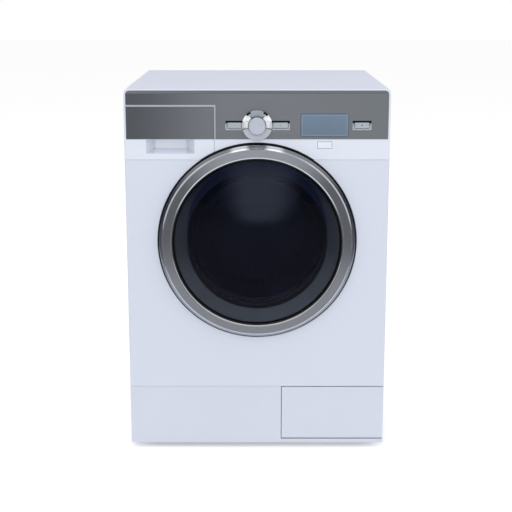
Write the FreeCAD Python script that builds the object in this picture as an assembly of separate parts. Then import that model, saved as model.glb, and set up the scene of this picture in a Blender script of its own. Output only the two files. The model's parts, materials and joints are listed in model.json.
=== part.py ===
# Front-loading washing machine at real size, in millimetres.
# X runs to the right, Y runs into the machine from its front, Z runs up.
# The origin is on the floor, below the middle of the machine's box.
import FreeCAD
import Part
import math
import os

Vector = FreeCAD.Vector

# Cabinet
overall_width = 596.0
half_width = overall_width / 2
overall_height = 850.0
body_depth = 585.0
rear_reach = 22.0
fitting_stand = 1.0
fitting_neck = 0.5
sheet = 1.0
side_flange = 20.0
front_return = 14.0
seam_gap = 0.5
front_gap = 0.25
edge_round = 4.0
floor_clear = 14.0
cabinet_bottom = 24.0
plinth_top = 155.0
panel_seam_inset = 157.0
panel_seam = overall_height - panel_seam_inset
fascia_bottom_inset = 110.0
fascia_bottom = overall_height - fascia_bottom_inset
worktop_thickness = 24.0
worktop_round = 4.0

# General fits
slide_gap = 0.3
run_fit = 0.05
moulding_wall = 3.0

# Door, with radii about the drum axis and distances forward of the front panel
ring_side_room = 74.5
ring_end_room = 69.0
ring_radius = min(half_width - ring_side_room, (fascia_bottom - plinth_top) / 2 - ring_end_room)
ring_top_room = 12.5
axis_height = fascia_bottom - ring_radius - ring_top_room
ring_back = 5.0
ring_edge = 2.0
ring_bevel = 9.0
ring_flat = 17.5
ring_rise = 2.0
ring_lip = 5.5
ring_lip_drop = 4.0
ring_wall = 1.8
half_mitre = math.tan(math.radians(22.5))
surround_wall = 2.0
surround_radius_margin = 3.5
surround_radius = ring_radius + surround_radius_margin
surround_width = 20.0
surround_proud = 0.6
dish_depth = 10.0
dish_gap = 0.6
opening_radius_inset = 49.5
opening_radius = ring_radius - opening_radius_inset
neck_length = 9.0
window_thickness = 4.0
window_rise = 17.0
window_seat = 9.0
window_seat_width = 5.0
frame_radius_inset = 18.5
frame_radius = ring_radius - frame_radius_inset
frame_step_radius_inset = 53.5
frame_step_radius = ring_radius - frame_step_radius_inset
frame_shoulder = 4.0
frame_back = -3.0
cone_back = -8.0
cone_radius_inset = 63.0
cone_radius = ring_radius - cone_radius_inset
bowl_flange_radius_inset = 60.5
bowl_flange_radius = ring_radius - bowl_flange_radius_inset
bowl_mouth_radius_inset = 73.5
bowl_mouth_radius = ring_radius - bowl_mouth_radius_inset
bowl_floor_radius_inset = 105.5
bowl_floor_radius = ring_radius - bowl_floor_radius_inset
bowl_depth = 105.0
bowl_dome = 12.0
bowl_knee_radius_inset = 141.5
bowl_knee_radius = ring_radius - bowl_knee_radius_inset
bowl_knee_depth = 9.5
bowl_wall = 4.0
back_ring_face = -7.5
back_ring_lap = 2.0
spigot_radius_inset = 57.0
spigot_radius = ring_radius - spigot_radius_inset
spigot_depth = 15.5

# Door hinge and latch
hinge_x_inset = 11.5
hinge_x = ring_radius - hinge_x_inset
hinge_forward = 6.5
pin_radius = 2.5
knuckle_radius = 4.8
knuckle_half = 23.5
ear_length = 6.0
ear_gap = 1.5
ear_root = 8.0
ear_seat = 2.0
arm_plate = 1.8
arm_stem = 7.0
arm_stem_gap = 3.2
arm_foot = 22.0
arm_bar_half = 3.0
latch_x_inset = 26.5
latch_x = ring_radius - latch_x_inset
latch_width = 7.0
latch_height = 12.0
latch_reach = 34.0
latch_barb = 2.0
latch_barb_length = 9.0
latch_nose = 8.0
latch_slot_room = 5.5
latch_pin_radius = 1.6
lock_width = 33.0
lock_height = 76.0
lock_depth = 32.0

# Door gasket and tub mouth
gasket_wall = 3.6
gasket_lip_radius_inset = 77.5
gasket_lip_radius = ring_radius - gasket_lip_radius_inset
gasket_lip_depth = 28.0
gasket_fold_radius_inset = 43.5
gasket_fold_radius = ring_radius - gasket_fold_radius_inset
gasket_fold_low_inset = 50.5
gasket_fold_low = ring_radius - gasket_fold_low_inset
gasket_fold_front = 12.0
gasket_fold_length = 11.0
gasket_fold_crown = 3.0
gasket_bead_length = 12.0
gasket_web = 4.0
tub_collar_radius_inset = 42.5
tub_collar_radius = ring_radius - tub_collar_radius_inset
tub_collar_wall = 3.0
tub_collar_front = 60.0
tub_collar_length = 20.0

# Tub and drum
tub_radius_margin = 26.5
tub_radius = ring_radius + tub_radius_margin
tub_wall = 4.0
tub_split = 270.0
tub_ribs = 12
tub_rib_depth = 12.0
drum_radius_inset = 15.0
drum_radius = tub_radius - drum_radius_inset
drum_sheet = 1.2
drum_mouth_radius_inset = 58.5
drum_mouth_radius = ring_radius - drum_mouth_radius_inset
drum_lip = 12.0
drum_roll = 4.0
drum_seam = 3.0
drum_front_depth = 92.0
drum_back_room = 175.0
drum_length = body_depth - drum_front_depth - drum_back_room
drum_back_boss = 10.0
drum_rear_room = 42.0
lifter_count = 3
lifter_height = 48.0
lifter_width = 62.0
lifter_crown = 22.0
spider_thickness = 22.0
spider_hub_radius = 42.0
spider_arm_width = 46.0
spider_tip_width = 26.0
spider_edge = 4.0
spider_hub_step = 8.0
shaft_radius = 15.0
shaft_length = 128.0
bearing_radius = 31.0
bearing_width = 16.0
bearing_spacing = 36.0
hub_wall = 9.0
hub_length = 62.0
pulley_radius = 140.0
pulley_width = 18.0
pulley_web = 4.0
pulley_rim = 5.0
pulley_spokes = 6
pulley_window = 30.0
belt_width = 12.0
belt_thickness = 4.0
weight_inner_inset = 55.0
weight_inner = tub_radius - weight_inner_inset
weight_outer_inset = 10.0
weight_outer = tub_radius - weight_outer_inset
weight_front = 42.0
weight_half_angle = 66.0
tub_travel = 10.0
spring_x_inset = 40.0
spring_x = half_width - spring_x_inset
spring_depth = 300.0
spring_foot = axis_height + 0.6 * tub_radius
spring_top_inset = 48.0
spring_top = overall_height - spring_top_inset
spring_radius = 11.0
spring_wire = 3.6
spring_turns = 11
hanger_thickness = 3.0
damper_x = 190.0
damper_depth = 330.0
damper_radius = 14.0
damper_top = 185.0
damper_rod_radius = 6.0
damper_bore_floor = 80.0
damper_spare = 5.0
damper_head = axis_height - 0.8 * tub_radius

# Motor, heater and water path
motor_x = -95.0
motor_height = axis_height - tub_radius - 100.0
motor_radius = 55.0
motor_length = 118.0
motor_chamfer = 8.0
motor_lug = 16.0
motor_lug_half = 33.0
motor_pulley_radius = 12.0
motor_shaft_radius = 7.0
well_left = 0.0
well_right = 90.0
well_floor = axis_height - tub_radius - 22.0
well_front = 105.0
well_back = 262.0
heater_tube = 4.0
heater_reach = 125.0
heater_height_margin = 12.0
heater_height = well_floor + heater_height_margin
heater_flange = 18.0
heater_flange_reach = 12.0
sump_x = 45.0
sump_depth = 125.0
sump_hose_radius = 20.0
sump_hose_wall = 3.0
sump_bend = 46.0
pump_x_inset = 108.0
pump_x = half_width - pump_x_inset
pump_height = 92.0
pump_radius = 36.0
pump_front = 42.0
pump_chamber = 104.0
pump_wall = 6.0
pump_bore_depth = 72.0
pump_stand_half = 25.0
pump_stand_inset = 8.0
pump_outlet = 6.0
pump_motor_radius = 29.0
pump_motor_length = 46.0
filter_cap_radius = 33.0
filter_cap_thickness = 12.0
filter_grip = 13.0
filter_grip_half = 26.0
filter_round = 2.0
filter_sieve = 62.0
filter_sieve_gap = 1.0
drain_x_inset = 46.0
drain_x = half_width - drain_x_inset
drain_depth = 84.0
drain_hose_radius = 10.0
drain_hose_wall = 2.0
drain_bend = 24.0
drain_collar = 5.0

# Control panel
panel_bevel = 6.0
panel_corner = 12.0
panel_drop = 2.0
panel_wall_depth = 30.0
fascia_side_inset = 5.0
fascia_side = half_width - fascia_side_inset
fascia_thickness = 1.2
fascia_corner = 8.0
drawer_right = -96.5
drawer_top_inset = 38.0
drawer_top = overall_height - drawer_top_inset
drawer_gap = 0.6
trim_width = 4.2
trim_side = 3.0
trim_proud = 0.5
knob_height_inset = 79.0
knob_height = overall_height - knob_height_inset
knob_radius = 19.0
knob_face = 20.0
knob_round = 2.5
knob_shaft_radius = 3.0
bezel_radius = 34.0
bezel_proud = 5.0
bezel_shelf_radius = 21.0
bezel_edge = 1.0
bezel_slope = 2.0
gate_low_angle = -17.0
gate_sweep = 67.0
channel_left = -70.5
channel_right = 73.0
channel_height = 20.5
channel_depth = 5.0
channel_wall = 1.2
channel_corner = 1.5
button_height = 12.5
button_proud = 1.6
button_travel = 1.5
button_stem_radius = 3.0
left_button_span = (-65.0, -35.5)
right_button_span = (36.5, 68.5)
start_slot_inset = 43.0
start_slot_width = 41.5
start_button_rim = 5.0
start_slot_span = (half_width - start_slot_inset - start_slot_width, half_width - start_slot_inset)
start_button_span = (start_slot_span[0] + start_button_rim, start_slot_span[1] - start_button_rim)
display_left_room = 24.0
display_right_room = 8.5
display_span = (channel_right + display_left_room, start_slot_span[0] - display_right_room)
display_bottom_margin = 5.0
display_bottom = fascia_bottom + display_bottom_margin
display_top_inset = 52.7
display_top = overall_height - display_top_inset
display_corner = 5.0
display_thickness = 2.4
board_depth = 28.0
board_thickness = 1.8
board_left = -84.0
board_right_inset = 22.0
board_right = half_width - board_right_inset
board_bottom_margin = 4.0
board_bottom = fascia_bottom + board_bottom_margin
board_top_inset = 27.0
board_top = overall_height - board_top_inset
post_radius = 4.0
switch_height = 8.0

# Detergent drawer
grip_left = 48.5 - half_width
grip_right = -140.0
grip_bottom_margin = 14.0
grip_bottom = panel_seam + grip_bottom_margin
grip_top_inset = 1.0
grip_top = fascia_bottom - grip_top_inset
grip_draft = 20.0
grip_floor_rise = 10.0
grip_depth = 22.0
grip_wall = 2.2
well_room = 2.0
tray_left = 11.0 - half_width
tray_right = -130.0
tray_bottom_margin = 10.0
tray_bottom = fascia_bottom + tray_bottom_margin
tray_top_inset = 48.0
tray_top = overall_height - tray_top_inset
tray_length = 250.0
tray_wall = 2.0
tray_dividers = (-228.0, -176.0)
tray_bead = 2.0
drawer_runner_height = 5.0
housing_wall = 2.5
housing_side_gap = 2.5
housing_top_inset = 28.0
housing_top = overall_height - housing_top_inset
housing_back_gap = 4.0
fill_x = -196.0
fill_depth = 200.0
fill_radius = 18.0
fill_spout = 14.0
fill_hose_wall = 2.5
fill_hose_rib = 4.0
fill_hose_crown = 0.3
fill_hose_ribs = 4
tub_nozzle_rise = 48.0
inlet_x = -200.0
inlet_height_inset = 60.0
inlet_height = overall_height - inlet_height_inset
inlet_thread_radius = 13.2
inlet_bore_radius = 9.0
inlet_body = 46.0
inlet_hose_radius = 9.0
inlet_hose_wall = 2.0
inlet_nozzle = 24.0

# Plinth and flap
flap_left_inset = 132.0
flap_left = pump_x - flap_left_inset
flap_gap = 1.6
flap_top = plinth_top - flap_gap
flap_bottom_rise = 12.0
flap_bottom = floor_clear + flap_bottom_rise
flap_swing_room = 2.6
plinth_wall = 2.5
flap_return = 7.0
flap_hinge_rise = 5.0
flap_hinge_depth = 6.2
flap_pin_radius = 1.6
flap_barrel_radius = 2.9

# Base and feet
base_wall = 2.5
base_height = 36.0
foot_inset_x = 50.0
foot_inset_y = 62.0
foot_radius = 20.0
foot_height = 12.0
foot_chamfer = 3.0
foot_stem_radius = 5.0
foot_stem_top = 52.0
foot_boss_radius = 11.0
nut_flats = 17.0
nut_sides = 6
nut_height = 6.0

# Rear
cover_half_width = 190.0
cover_bottom_inset = 240.0
cover_bottom = axis_height - cover_bottom_inset
cover_top_margin = 230.0
cover_top = axis_height + cover_top_margin
cover_corner = 40.0
cover_lap = 12.0
cover_pressing = 6.0
cover_pressing_inset = 26.0
screw_radius = 2.0
screw_head_radius = 4.2
screw_head_height = 2.6
screw_length = 8.0
gland_x = 222.0
gland_height = inlet_height
gland_radius = 13.0
gland_bore = 4.2
gland_lip = 3.0
gland_inside = 6.0
gland_outside = 7.0

# Places that follow from the sizes above
window_front = window_seat + window_thickness
front_reach = window_front + window_rise
front_y = -(body_depth + rear_reach - front_reach) / 2
worktop_bottom = overall_height - worktop_thickness
panel_top = overall_height - panel_drop
side_front = front_return + seam_gap
ring_flat_outer = ring_radius - ring_bevel
ring_flat_inner = ring_flat_outer - ring_flat
ring_inner = ring_flat_inner - ring_lip
ring_shoulder = ring_back + ring_edge
ring_top = ring_shoulder + ring_bevel
dish_radius = surround_radius + dish_gap
cutout_radius = dish_radius + sheet
surround_inner = surround_radius - surround_width
surround_floor_inset = 0.5
surround_floor = surround_wall - surround_floor_inset
window_radius = ring_inner - slide_gap
tub_front_depth = tub_collar_front + tub_collar_length
drum_back_depth = drum_front_depth + drum_length
pulley_depth = drum_back_depth + shaft_length - pulley_width
tub_rear_depth = drum_back_depth + drum_rear_room
base_floor = cabinet_bottom + sheet
tray_front = moulding_wall
tray_back = tray_front + tray_length
housing_bottom = tray_bottom - drawer_runner_height - slide_gap - housing_wall
housing_front_margin = 2.0
housing_front = front_return + housing_front_margin
housing_back = tray_back + housing_back_gap + housing_wall
panel_left = drawer_right + drawer_gap
grip_well = grip_depth + grip_wall + well_room
flap_hinge_height = flap_bottom + flap_hinge_rise
switch_face = board_depth - switch_height


def back(depth):
    """Y of a plane that lies this far behind the face of the front panel."""
    return front_y + depth


def box(x0, x1, y0, y1, z0, z1):
    return Part.makeBox(x1 - x0, y1 - y0, z1 - z0, Vector(x0, y0, z0))


def slab(x0, x1, depth0, depth1, z0, z1):
    """Box between two depths behind the face of the front panel."""
    return box(x0, x1, back(depth0), back(depth1), z0, z1)


def rod_x(y, z, radius, x0, x1):
    return Part.makeCylinder(radius, x1 - x0, Vector(x0, y, z), Vector(1, 0, 0))


def rod_y(x, z, radius, depth0, depth1):
    return Part.makeCylinder(radius, depth1 - depth0, Vector(x, back(depth0), z), Vector(0, 1, 0))


def rod_z(x, y, radius, z0, z1):
    return Part.makeCylinder(radius, z1 - z0, Vector(x, y, z0), Vector(0, 0, 1))


def fuse(first, *others):
    return first.multiFuse(list(others)).removeSplitter()


def polygon_face(points):
    return Part.Face(Part.makePolygon(points + [points[0]]))


def turned(profile, x=0.0, z=axis_height):
    """Solid of revolution about a line along Y; the profile lists radius and depth."""
    points = [Vector(x + radius, back(depth), z) for radius, depth in profile]
    return polygon_face(points).revolve(Vector(x, 0, z), Vector(0, 1, 0), 360)


def turned_upright(profile, x, y):
    """Solid of revolution about a vertical line; the profile lists radius and height."""
    points = [Vector(x + radius, y, height) for radius, height in profile]
    return polygon_face(points).revolve(Vector(x, y, 0), Vector(0, 0, 1), 360)


def prism_x(profile, x0, x1):
    """Profile of depth and height, drawn along X."""
    points = [Vector(x0, back(depth), height) for depth, height in profile]
    return polygon_face(points).extrude(Vector(x1 - x0, 0, 0))


def prism_y(profile, depth0, depth1):
    """Profile of x and height, drawn along Y."""
    points = [Vector(x, back(depth0), height) for x, height in profile]
    return polygon_face(points).extrude(Vector(0, depth1 - depth0, 0))


def edges_along(shape, direction, test):
    """Straight edges parallel to a direction whose middle passes the test."""
    found = []
    for edge in shape.Edges:
        start = edge.Vertexes[0].Point
        span = edge.Vertexes[-1].Point.sub(start)
        if span.Length > 0 and abs(abs(span.dot(direction)) - span.Length) < 1e-6:
            if test(start.add(span.multiply(0.5))):
                found.append(edge)
    return found


def rounded_plate(x0, x1, z0, z1, depth0, depth1, radius):
    """Plate facing forward with four rounded corners."""
    plate = slab(x0, x1, depth0, depth1, z0, z1)
    return plate.makeFillet(radius, edges_along(plate, Vector(0, 1, 0), lambda middle: True))


def oblong(x0, x1, z_middle, height, depth0, depth1):
    """Plate facing forward with fully rounded ends."""
    radius = height / 2
    plate = slab(x0 + radius, x1 - radius, depth0, depth1, z_middle - radius, z_middle + radius)
    ends = [rod_y(x, z_middle, radius, depth0, depth1) for x in (x0 + radius, x1 - radius)]
    return fuse(plate, *ends)


def mirrored(shape):
    return shape.mirror(Vector(0, 0, 0), Vector(1, 0, 0))


def pair(shape):
    """A piece and its mirror image as one group of separate solids."""
    return Part.makeCompound([shape, mirrored(shape)])


def bent_tube(points, bend, outer, inner):
    """Round tube along two straight runs that one tangent arc joins."""
    start, corner, end = points
    to_start = start.sub(corner).normalize()
    to_end = end.sub(corner).normalize()
    first = corner.add(Vector(to_start).multiply(bend))
    last = corner.add(Vector(to_end).multiply(bend))
    centre = first.add(Vector(to_end).multiply(bend))
    middle = centre.add(corner.sub(centre).normalize().multiply(bend))
    path = Part.Wire([
        Part.LineSegment(start, first).toShape(),
        Part.Arc(first, middle, last).toShape(),
        Part.LineSegment(last, end).toShape(),
    ])
    solids = []
    for radius in (outer, inner):
        ring = Part.Wire(Part.Circle(start, to_start, radius).toShape())
        solids.append(path.makePipeShell([ring], True, False))
    return solids[0].cut(solids[1])


def belt_loop(gap, depth0, depth1):
    """Band round the two pulleys, filled, standing a gap outside them."""
    big = pulley_radius + gap
    small = motor_pulley_radius + gap
    centre_big = Vector(0, back(depth0), axis_height)
    centre_small = Vector(motor_x, back(depth0), motor_height)
    line = centre_small.sub(centre_big)
    heading = math.atan2(line.z, line.x)
    lean = math.acos((big - small) / line.Length)

    def on_circle(centre, radius, angle):
        return centre.add(Vector(radius * math.cos(angle), 0, radius * math.sin(angle)))

    upper = heading + lean
    lower = heading - lean
    big_arc = Part.Arc(on_circle(centre_big, big, upper),
                       on_circle(centre_big, big, heading + math.pi),
                       on_circle(centre_big, big, lower))
    small_arc = Part.Arc(on_circle(centre_small, small, lower),
                         on_circle(centre_small, small, heading),
                         on_circle(centre_small, small, upper))
    loop = Part.Wire([
        big_arc.toShape(),
        Part.LineSegment(on_circle(centre_big, big, lower), on_circle(centre_small, small, lower)).toShape(),
        small_arc.toShape(),
        Part.LineSegment(on_circle(centre_small, small, upper), on_circle(centre_big, big, upper)).toShape(),
    ])
    return Part.Face(loop).extrude(Vector(0, depth1 - depth0, 0))


# Cabinet pieces

def side_panel():
    """Right side: a folded steel pan, with the hanger for its suspension spring."""
    inner_x = half_width - side_flange
    panel = slab(inner_x, half_width, side_front, body_depth - sheet, cabinet_bottom, worktop_bottom)
    hollow = slab(inner_x - sheet, half_width - sheet, side_front + sheet, body_depth - 2 * sheet,
                  cabinet_bottom + sheet, worktop_bottom - sheet)
    reach = spring_radius + spring_wire
    hanger = slab(spring_x - reach, half_width - sheet, spring_depth - reach, spring_depth + reach,
                  spring_top, spring_top + hanger_thickness)
    return fuse(panel.cut(hollow), hanger)


def side_panel_left():
    """Mirror of the right side, with its front fold cut away for the drawer."""
    opening = slab(-half_width + sheet, 0, 0, side_front + 2 * sheet, housing_bottom - seam_gap,
                   housing_top + seam_gap)
    return mirrored(side_panel()).cut(opening)


def worktop():
    plate = slab(-half_width, half_width, side_front, body_depth, worktop_bottom, overall_height)
    at_top = [edge for edge in plate.Edges
              if all(abs(v.Point.z - overall_height) < 1e-6 for v in edge.Vertexes)]
    return plate.makeFillet(worktop_round, at_top)


def cover_screw_places():
    """Middles of the screws round the edge of the rear cover."""
    edge = cover_half_width + cover_lap / 2
    heights = [cover_bottom - cover_lap / 2, (cover_bottom + cover_top) / 2, cover_top + cover_lap / 2]
    sides = [(sign * edge, heights[1]) for sign in (-1, 1)]
    reach = cover_half_width - cover_corner
    ends = [(sign * reach, z) for sign in (-1, 1) for z in (heights[0], heights[2])]
    return sides + ends


def rear_panel():
    wall = half_width - sheet
    panel = slab(-wall, wall, body_depth - sheet, body_depth, cabinet_bottom, worktop_bottom)
    access = rounded_plate(-cover_half_width, cover_half_width, cover_bottom, cover_top,
                           body_depth - 2 * sheet, body_depth + sheet, cover_corner)
    holes = [rod_y(x, z, screw_radius + slide_gap, body_depth - 2 * sheet, body_depth + sheet)
             for x, z in cover_screw_places()]
    for x, z, radius in ((inlet_x, inlet_height, inlet_thread_radius),
                         (drain_x, pump_height, drain_hose_radius),
                         (gland_x, gland_height, gland_radius)):
        holes.append(rod_y(x, z, radius + slide_gap, body_depth - 2 * sheet, body_depth + sheet))
    return panel.cut(access).cut(Part.makeCompound(holes))


def rear_cover():
    """Pressed service cover over the belt drive."""
    lap = cover_half_width + cover_lap
    plate = rounded_plate(-lap, lap, cover_bottom - cover_lap, cover_top + cover_lap,
                          body_depth, body_depth + sheet, cover_corner + cover_lap)
    inset = cover_pressing_inset
    raised = rounded_plate(-cover_half_width + inset, cover_half_width - inset,
                           cover_bottom + inset, cover_top - inset,
                           body_depth, body_depth + cover_pressing, cover_corner)
    inset = cover_pressing_inset + sheet
    hollow = rounded_plate(-cover_half_width + inset, cover_half_width - inset,
                           cover_bottom + inset, cover_top - inset,
                           body_depth - sheet, body_depth + cover_pressing - sheet, cover_corner - sheet)
    holes = [rod_y(x, z, screw_radius + slide_gap, body_depth - sheet, body_depth + 2 * sheet)
             for x, z in cover_screw_places()]
    return fuse(plate, raised).cut(hollow).cut(Part.makeCompound(holes))


def rear_cover_screws():
    screws = []
    face = body_depth + sheet
    for x, z in cover_screw_places():
        head = rod_y(x, z, screw_head_radius, face, face + screw_head_height)
        shank = rod_y(x, z, screw_radius, face - screw_length, face)
        screws.append(fuse(head, shank))
    return Part.makeCompound(screws)


def foot_places():
    xs = (-half_width + foot_inset_x, half_width - foot_inset_x)
    ys = (back(foot_inset_y), back(body_depth - foot_inset_y))
    return [(x, y) for x in xs for y in ys]


def base_tray():
    """Moulded pan that closes the bottom and carries pump, dampers and feet."""
    wall = half_width - sheet
    rear = body_depth - 2 * sheet
    pan = slab(-wall, wall, side_front + sheet, rear, base_floor, base_floor + base_height)
    hollow = slab(-wall + base_wall, wall - base_wall, side_front + sheet + base_wall, rear - base_wall,
                  base_floor + base_wall, base_floor + base_height + base_wall)
    pan = pan.cut(hollow)
    bosses = [rod_z(x, y, foot_boss_radius, base_floor, base_floor + base_height / 2)
              for x, y in foot_places()]
    holes = [rod_z(x, y, foot_stem_radius, base_floor - sheet, base_floor + base_height)
             for x, y in foot_places()]
    return fuse(pan, *bosses).cut(Part.makeCompound(holes))


def feet():
    """Four screw feet, each with its lock nut."""
    solids = []
    rim = foot_radius - foot_chamfer
    for x, y in foot_places():
        solids.append(turned_upright([(0, 0), (rim, 0), (foot_radius, foot_chamfer),
                                      (foot_radius, foot_height - foot_chamfer), (rim, foot_height),
                                      (foot_stem_radius, foot_height),
                                      (foot_stem_radius, foot_stem_top), (0, foot_stem_top)], x, y))
        step = 2 * math.pi / nut_sides
        corner = nut_flats / 2 / math.cos(step / 2)
        hexagon = [Vector(x + corner * math.cos(step * k), y + corner * math.sin(step * k),
                          base_floor - nut_height)
                   for k in range(nut_sides)]
        nut = polygon_face(hexagon).extrude(Vector(0, 0, nut_height))
        solids.append(nut.cut(rod_z(x, y, foot_stem_radius, 0, foot_stem_top)))
    return Part.makeCompound(solids)


def front_panel():
    """Pressed steel front with the dished door seat and the neck for the gasket."""
    low = plinth_top + seam_gap
    high = panel_seam - front_gap
    pan = slab(-half_width, half_width, 0, front_return, low, high)
    pan = pan.makeFillet(edge_round, edges_along(pan, Vector(0, 0, 1), lambda m: m.y < back(sheet)))
    wall = half_width - sheet
    hollow = slab(-wall, wall, sheet, front_return + sheet, low + sheet, high - sheet)
    hollow = hollow.makeFillet(edge_round - sheet,
                               edges_along(hollow, Vector(0, 0, 1), lambda m: m.y < back(2 * sheet)))
    pan = pan.cut(hollow).cut(rod_y(0, axis_height, dish_radius, -sheet, dish_depth))
    dish = turned([(dish_radius, 0), (dish_radius + sheet, 0), (dish_radius + sheet, dish_depth + sheet),
                   (opening_radius, dish_depth + sheet), (opening_radius, dish_depth + sheet + neck_length),
                   (opening_radius - sheet, dish_depth + sheet + neck_length),
                   (opening_radius - sheet, dish_depth), (dish_radius, dish_depth)])
    dish = dish.cut(slab(-half_width, half_width, -sheet, dish_depth, high, overall_height))
    edge = half_width - side_flange
    tongue = slab(panel_left, edge, dish_depth, dish_depth + sheet, high - sheet, fascia_bottom)
    well_top = housing_bottom - seam_gap
    well = slab(-edge, panel_left + sheet, dish_depth, grip_well + sheet, high - sheet, well_top)
    well = well.cut(slab(-edge, panel_left, 0, grip_well, high, overall_height))
    panel = fuse(pan, dish, tongue, well)
    panel = panel.cut(rod_y(0, axis_height, opening_radius - sheet, -sheet, dish_depth * 3))
    return panel.cut(latch_slot(dish_depth - sheet, dish_depth + 2 * sheet))


def latch_slot(depth0, depth1):
    half = latch_width / 2 + latch_slot_room
    reach = latch_height / 2 + latch_slot_room / 2
    return slab(latch_x - half, latch_x + half, depth0, depth1, axis_height - reach, axis_height + reach)


def door_surround():
    floor = dish_depth - surround_floor
    return turned([(surround_inner, dish_depth), (surround_radius, dish_depth),
                   (surround_radius, -surround_proud), (surround_radius - surround_wall, -surround_proud),
                   (surround_radius - surround_wall, floor), (surround_inner, floor)])


# Control panel pieces

def panel_outline(inset):
    """Filled front shape of the control panel with its rounded top corners."""
    x = half_width - inset
    block = slab(-x, x, -panel_bevel, panel_wall_depth, panel_seam + front_gap + inset, panel_top - inset)
    at_top = edges_along(block, Vector(0, 1, 0), lambda m: m.z > panel_top - inset - 1)
    return block.makeFillet(panel_corner - inset, at_top)


def panel_section(inset, depth):
    """Filled side shape of the control panel with its bevelled top edge."""
    cut = inset * half_mitre
    low = panel_seam + front_gap + inset
    high = panel_top - inset
    return prism_x([(inset, low), (inset, panel_top - panel_bevel - cut),
                    (panel_bevel + cut, high), (depth, high), (depth, low)], -half_width, half_width)


def control_panel():
    """Moulded shell above the door, open on the left for the drawer."""
    solid = panel_section(0, front_return).common(panel_outline(0))
    hollow = panel_section(moulding_wall, front_return + sheet).common(panel_outline(moulding_wall))
    shell = solid.cut(hollow)
    ceiling = drawer_top + drawer_gap
    drawer_space = slab(-overall_width, panel_left, -panel_bevel, panel_wall_depth, 0, ceiling)
    door_space = rod_y(0, axis_height, cutout_radius, -panel_bevel, panel_wall_depth)
    tongue_space = slab(-half_width, half_width, dish_depth - seam_gap, panel_wall_depth, 0,
                        panel_seam + front_gap + moulding_wall)
    shell = shell.cut(drawer_space).cut(door_space).cut(tongue_space)
    side_wall = slab(panel_left, panel_left + moulding_wall, fascia_thickness, panel_wall_depth,
                     housing_bottom, worktop_bottom - seam_gap)
    roof = slab(-half_width + edge_round, panel_left + moulding_wall, fascia_thickness, front_return,
                ceiling, ceiling + moulding_wall)
    rim = turned([(cutout_radius, 0), (cutout_radius + moulding_wall, 0),
                  (cutout_radius + moulding_wall, dish_depth - seam_gap),
                  (cutout_radius, dish_depth - seam_gap)])
    rim = rim.common(slab(panel_left, half_width, 0, front_return, panel_seam + front_gap, overall_height))
    posts = [rod_y(x, z, post_radius, moulding_wall / 2, board_depth)
             for x in (board_left + 2 * post_radius, board_right - 2 * post_radius)
             for z in (board_bottom + 2 * post_radius, board_top - 3 * post_radius)]
    panel = fuse(shell, side_wall, roof, rim, *posts)
    return panel.cut(Part.makeCompound(control_openings(-panel_bevel, front_return, slide_gap)))


def channel_plate(x0, x1, height, depth0, depth1):
    """Upright plate at the knob's height, with small rounded corners."""
    return rounded_plate(x0, x1, knob_height - height / 2, knob_height + height / 2, depth0, depth1,
                         channel_corner)


def control_openings(depth0, depth1, gap):
    """Spaces through the panel for the bezels, the display and the knob."""
    height = channel_height + 2 * gap
    display = rounded_plate(display_span[0] - gap, display_span[1] + gap, display_bottom - gap,
                            display_top + gap, depth0, depth1, display_corner + gap)
    return [
        channel_plate(channel_left - gap, channel_right + gap, height, depth0, depth1),
        channel_plate(start_slot_span[0] - gap, start_slot_span[1] + gap, height, depth0, depth1),
        rod_y(0, knob_height, bezel_shelf_radius + gap, depth0, depth1),
        display,
    ]


def fascia_plate():
    """Brushed strip with its folded top bevel and the raised trim round the drawer."""
    outer = panel_section(-fascia_thickness, panel_bevel)
    plate = outer.cut(panel_section(0, front_return))
    block = slab(-fascia_side, fascia_side, -panel_bevel, panel_bevel, fascia_bottom, panel_top)
    at_top = edges_along(block, Vector(0, 1, 0), lambda m: m.z > panel_top - 1)
    plate = plate.common(block.makeFillet(fascia_corner, at_top))
    ceiling = drawer_top + drawer_gap
    plate = plate.cut(slab(-overall_width, panel_left, -panel_bevel, panel_bevel, 0, ceiling))
    plate = plate.cut(rod_y(0, axis_height, cutout_radius, -panel_bevel, panel_bevel))
    trims = [slab(-fascia_side, panel_left + trim_side, -fascia_thickness - trim_proud, -fascia_thickness,
                  ceiling, ceiling + trim_width),
             slab(panel_left, panel_left + trim_side, -fascia_thickness - trim_proud, -fascia_thickness,
                  fascia_bottom, ceiling)]
    openings = control_openings(-panel_bevel, panel_bevel, slide_gap)
    openings.append(rod_y(0, knob_height, bezel_radius + slide_gap, -panel_bevel, panel_bevel))
    return fuse(plate, *trims).cut(Part.makeCompound(openings))


def bezel_tray(x0, x1, spans):
    """Dished tray with a guide hole under each button."""
    floor = channel_depth
    tray = channel_plate(x0, x1, channel_height, -fascia_thickness, floor + channel_wall)
    hollow = channel_plate(x0 + channel_wall, x1 - channel_wall, channel_height - 2 * channel_wall,
                           -2 * fascia_thickness, floor)
    holes = [rod_y(sum(span) / 2, knob_height, button_stem_radius + slide_gap, 0, front_return)
             for span in spans]
    return tray.cut(hollow).cut(Part.makeCompound(holes))


def dial_gate(shelf):
    """Sloped sector cut into the right of the dial bezel, which opens towards its button."""
    face = -2 * bezel_proud
    profile = [(bezel_shelf_radius, face), (bezel_radius + bezel_edge, face),
               (bezel_radius + bezel_edge, -fascia_thickness),
               (bezel_radius - bezel_slope, -fascia_thickness),
               (bezel_shelf_radius, shelf)]
    points = [Vector(radius, back(depth), knob_height) for radius, depth in profile]
    section = polygon_face(points)
    base = Vector(0, 0, knob_height)
    towards_front = Vector(0, -1, 0)
    section.rotate(base, towards_front, gate_low_angle)
    return section.revolve(base, towards_front, gate_sweep)


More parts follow.
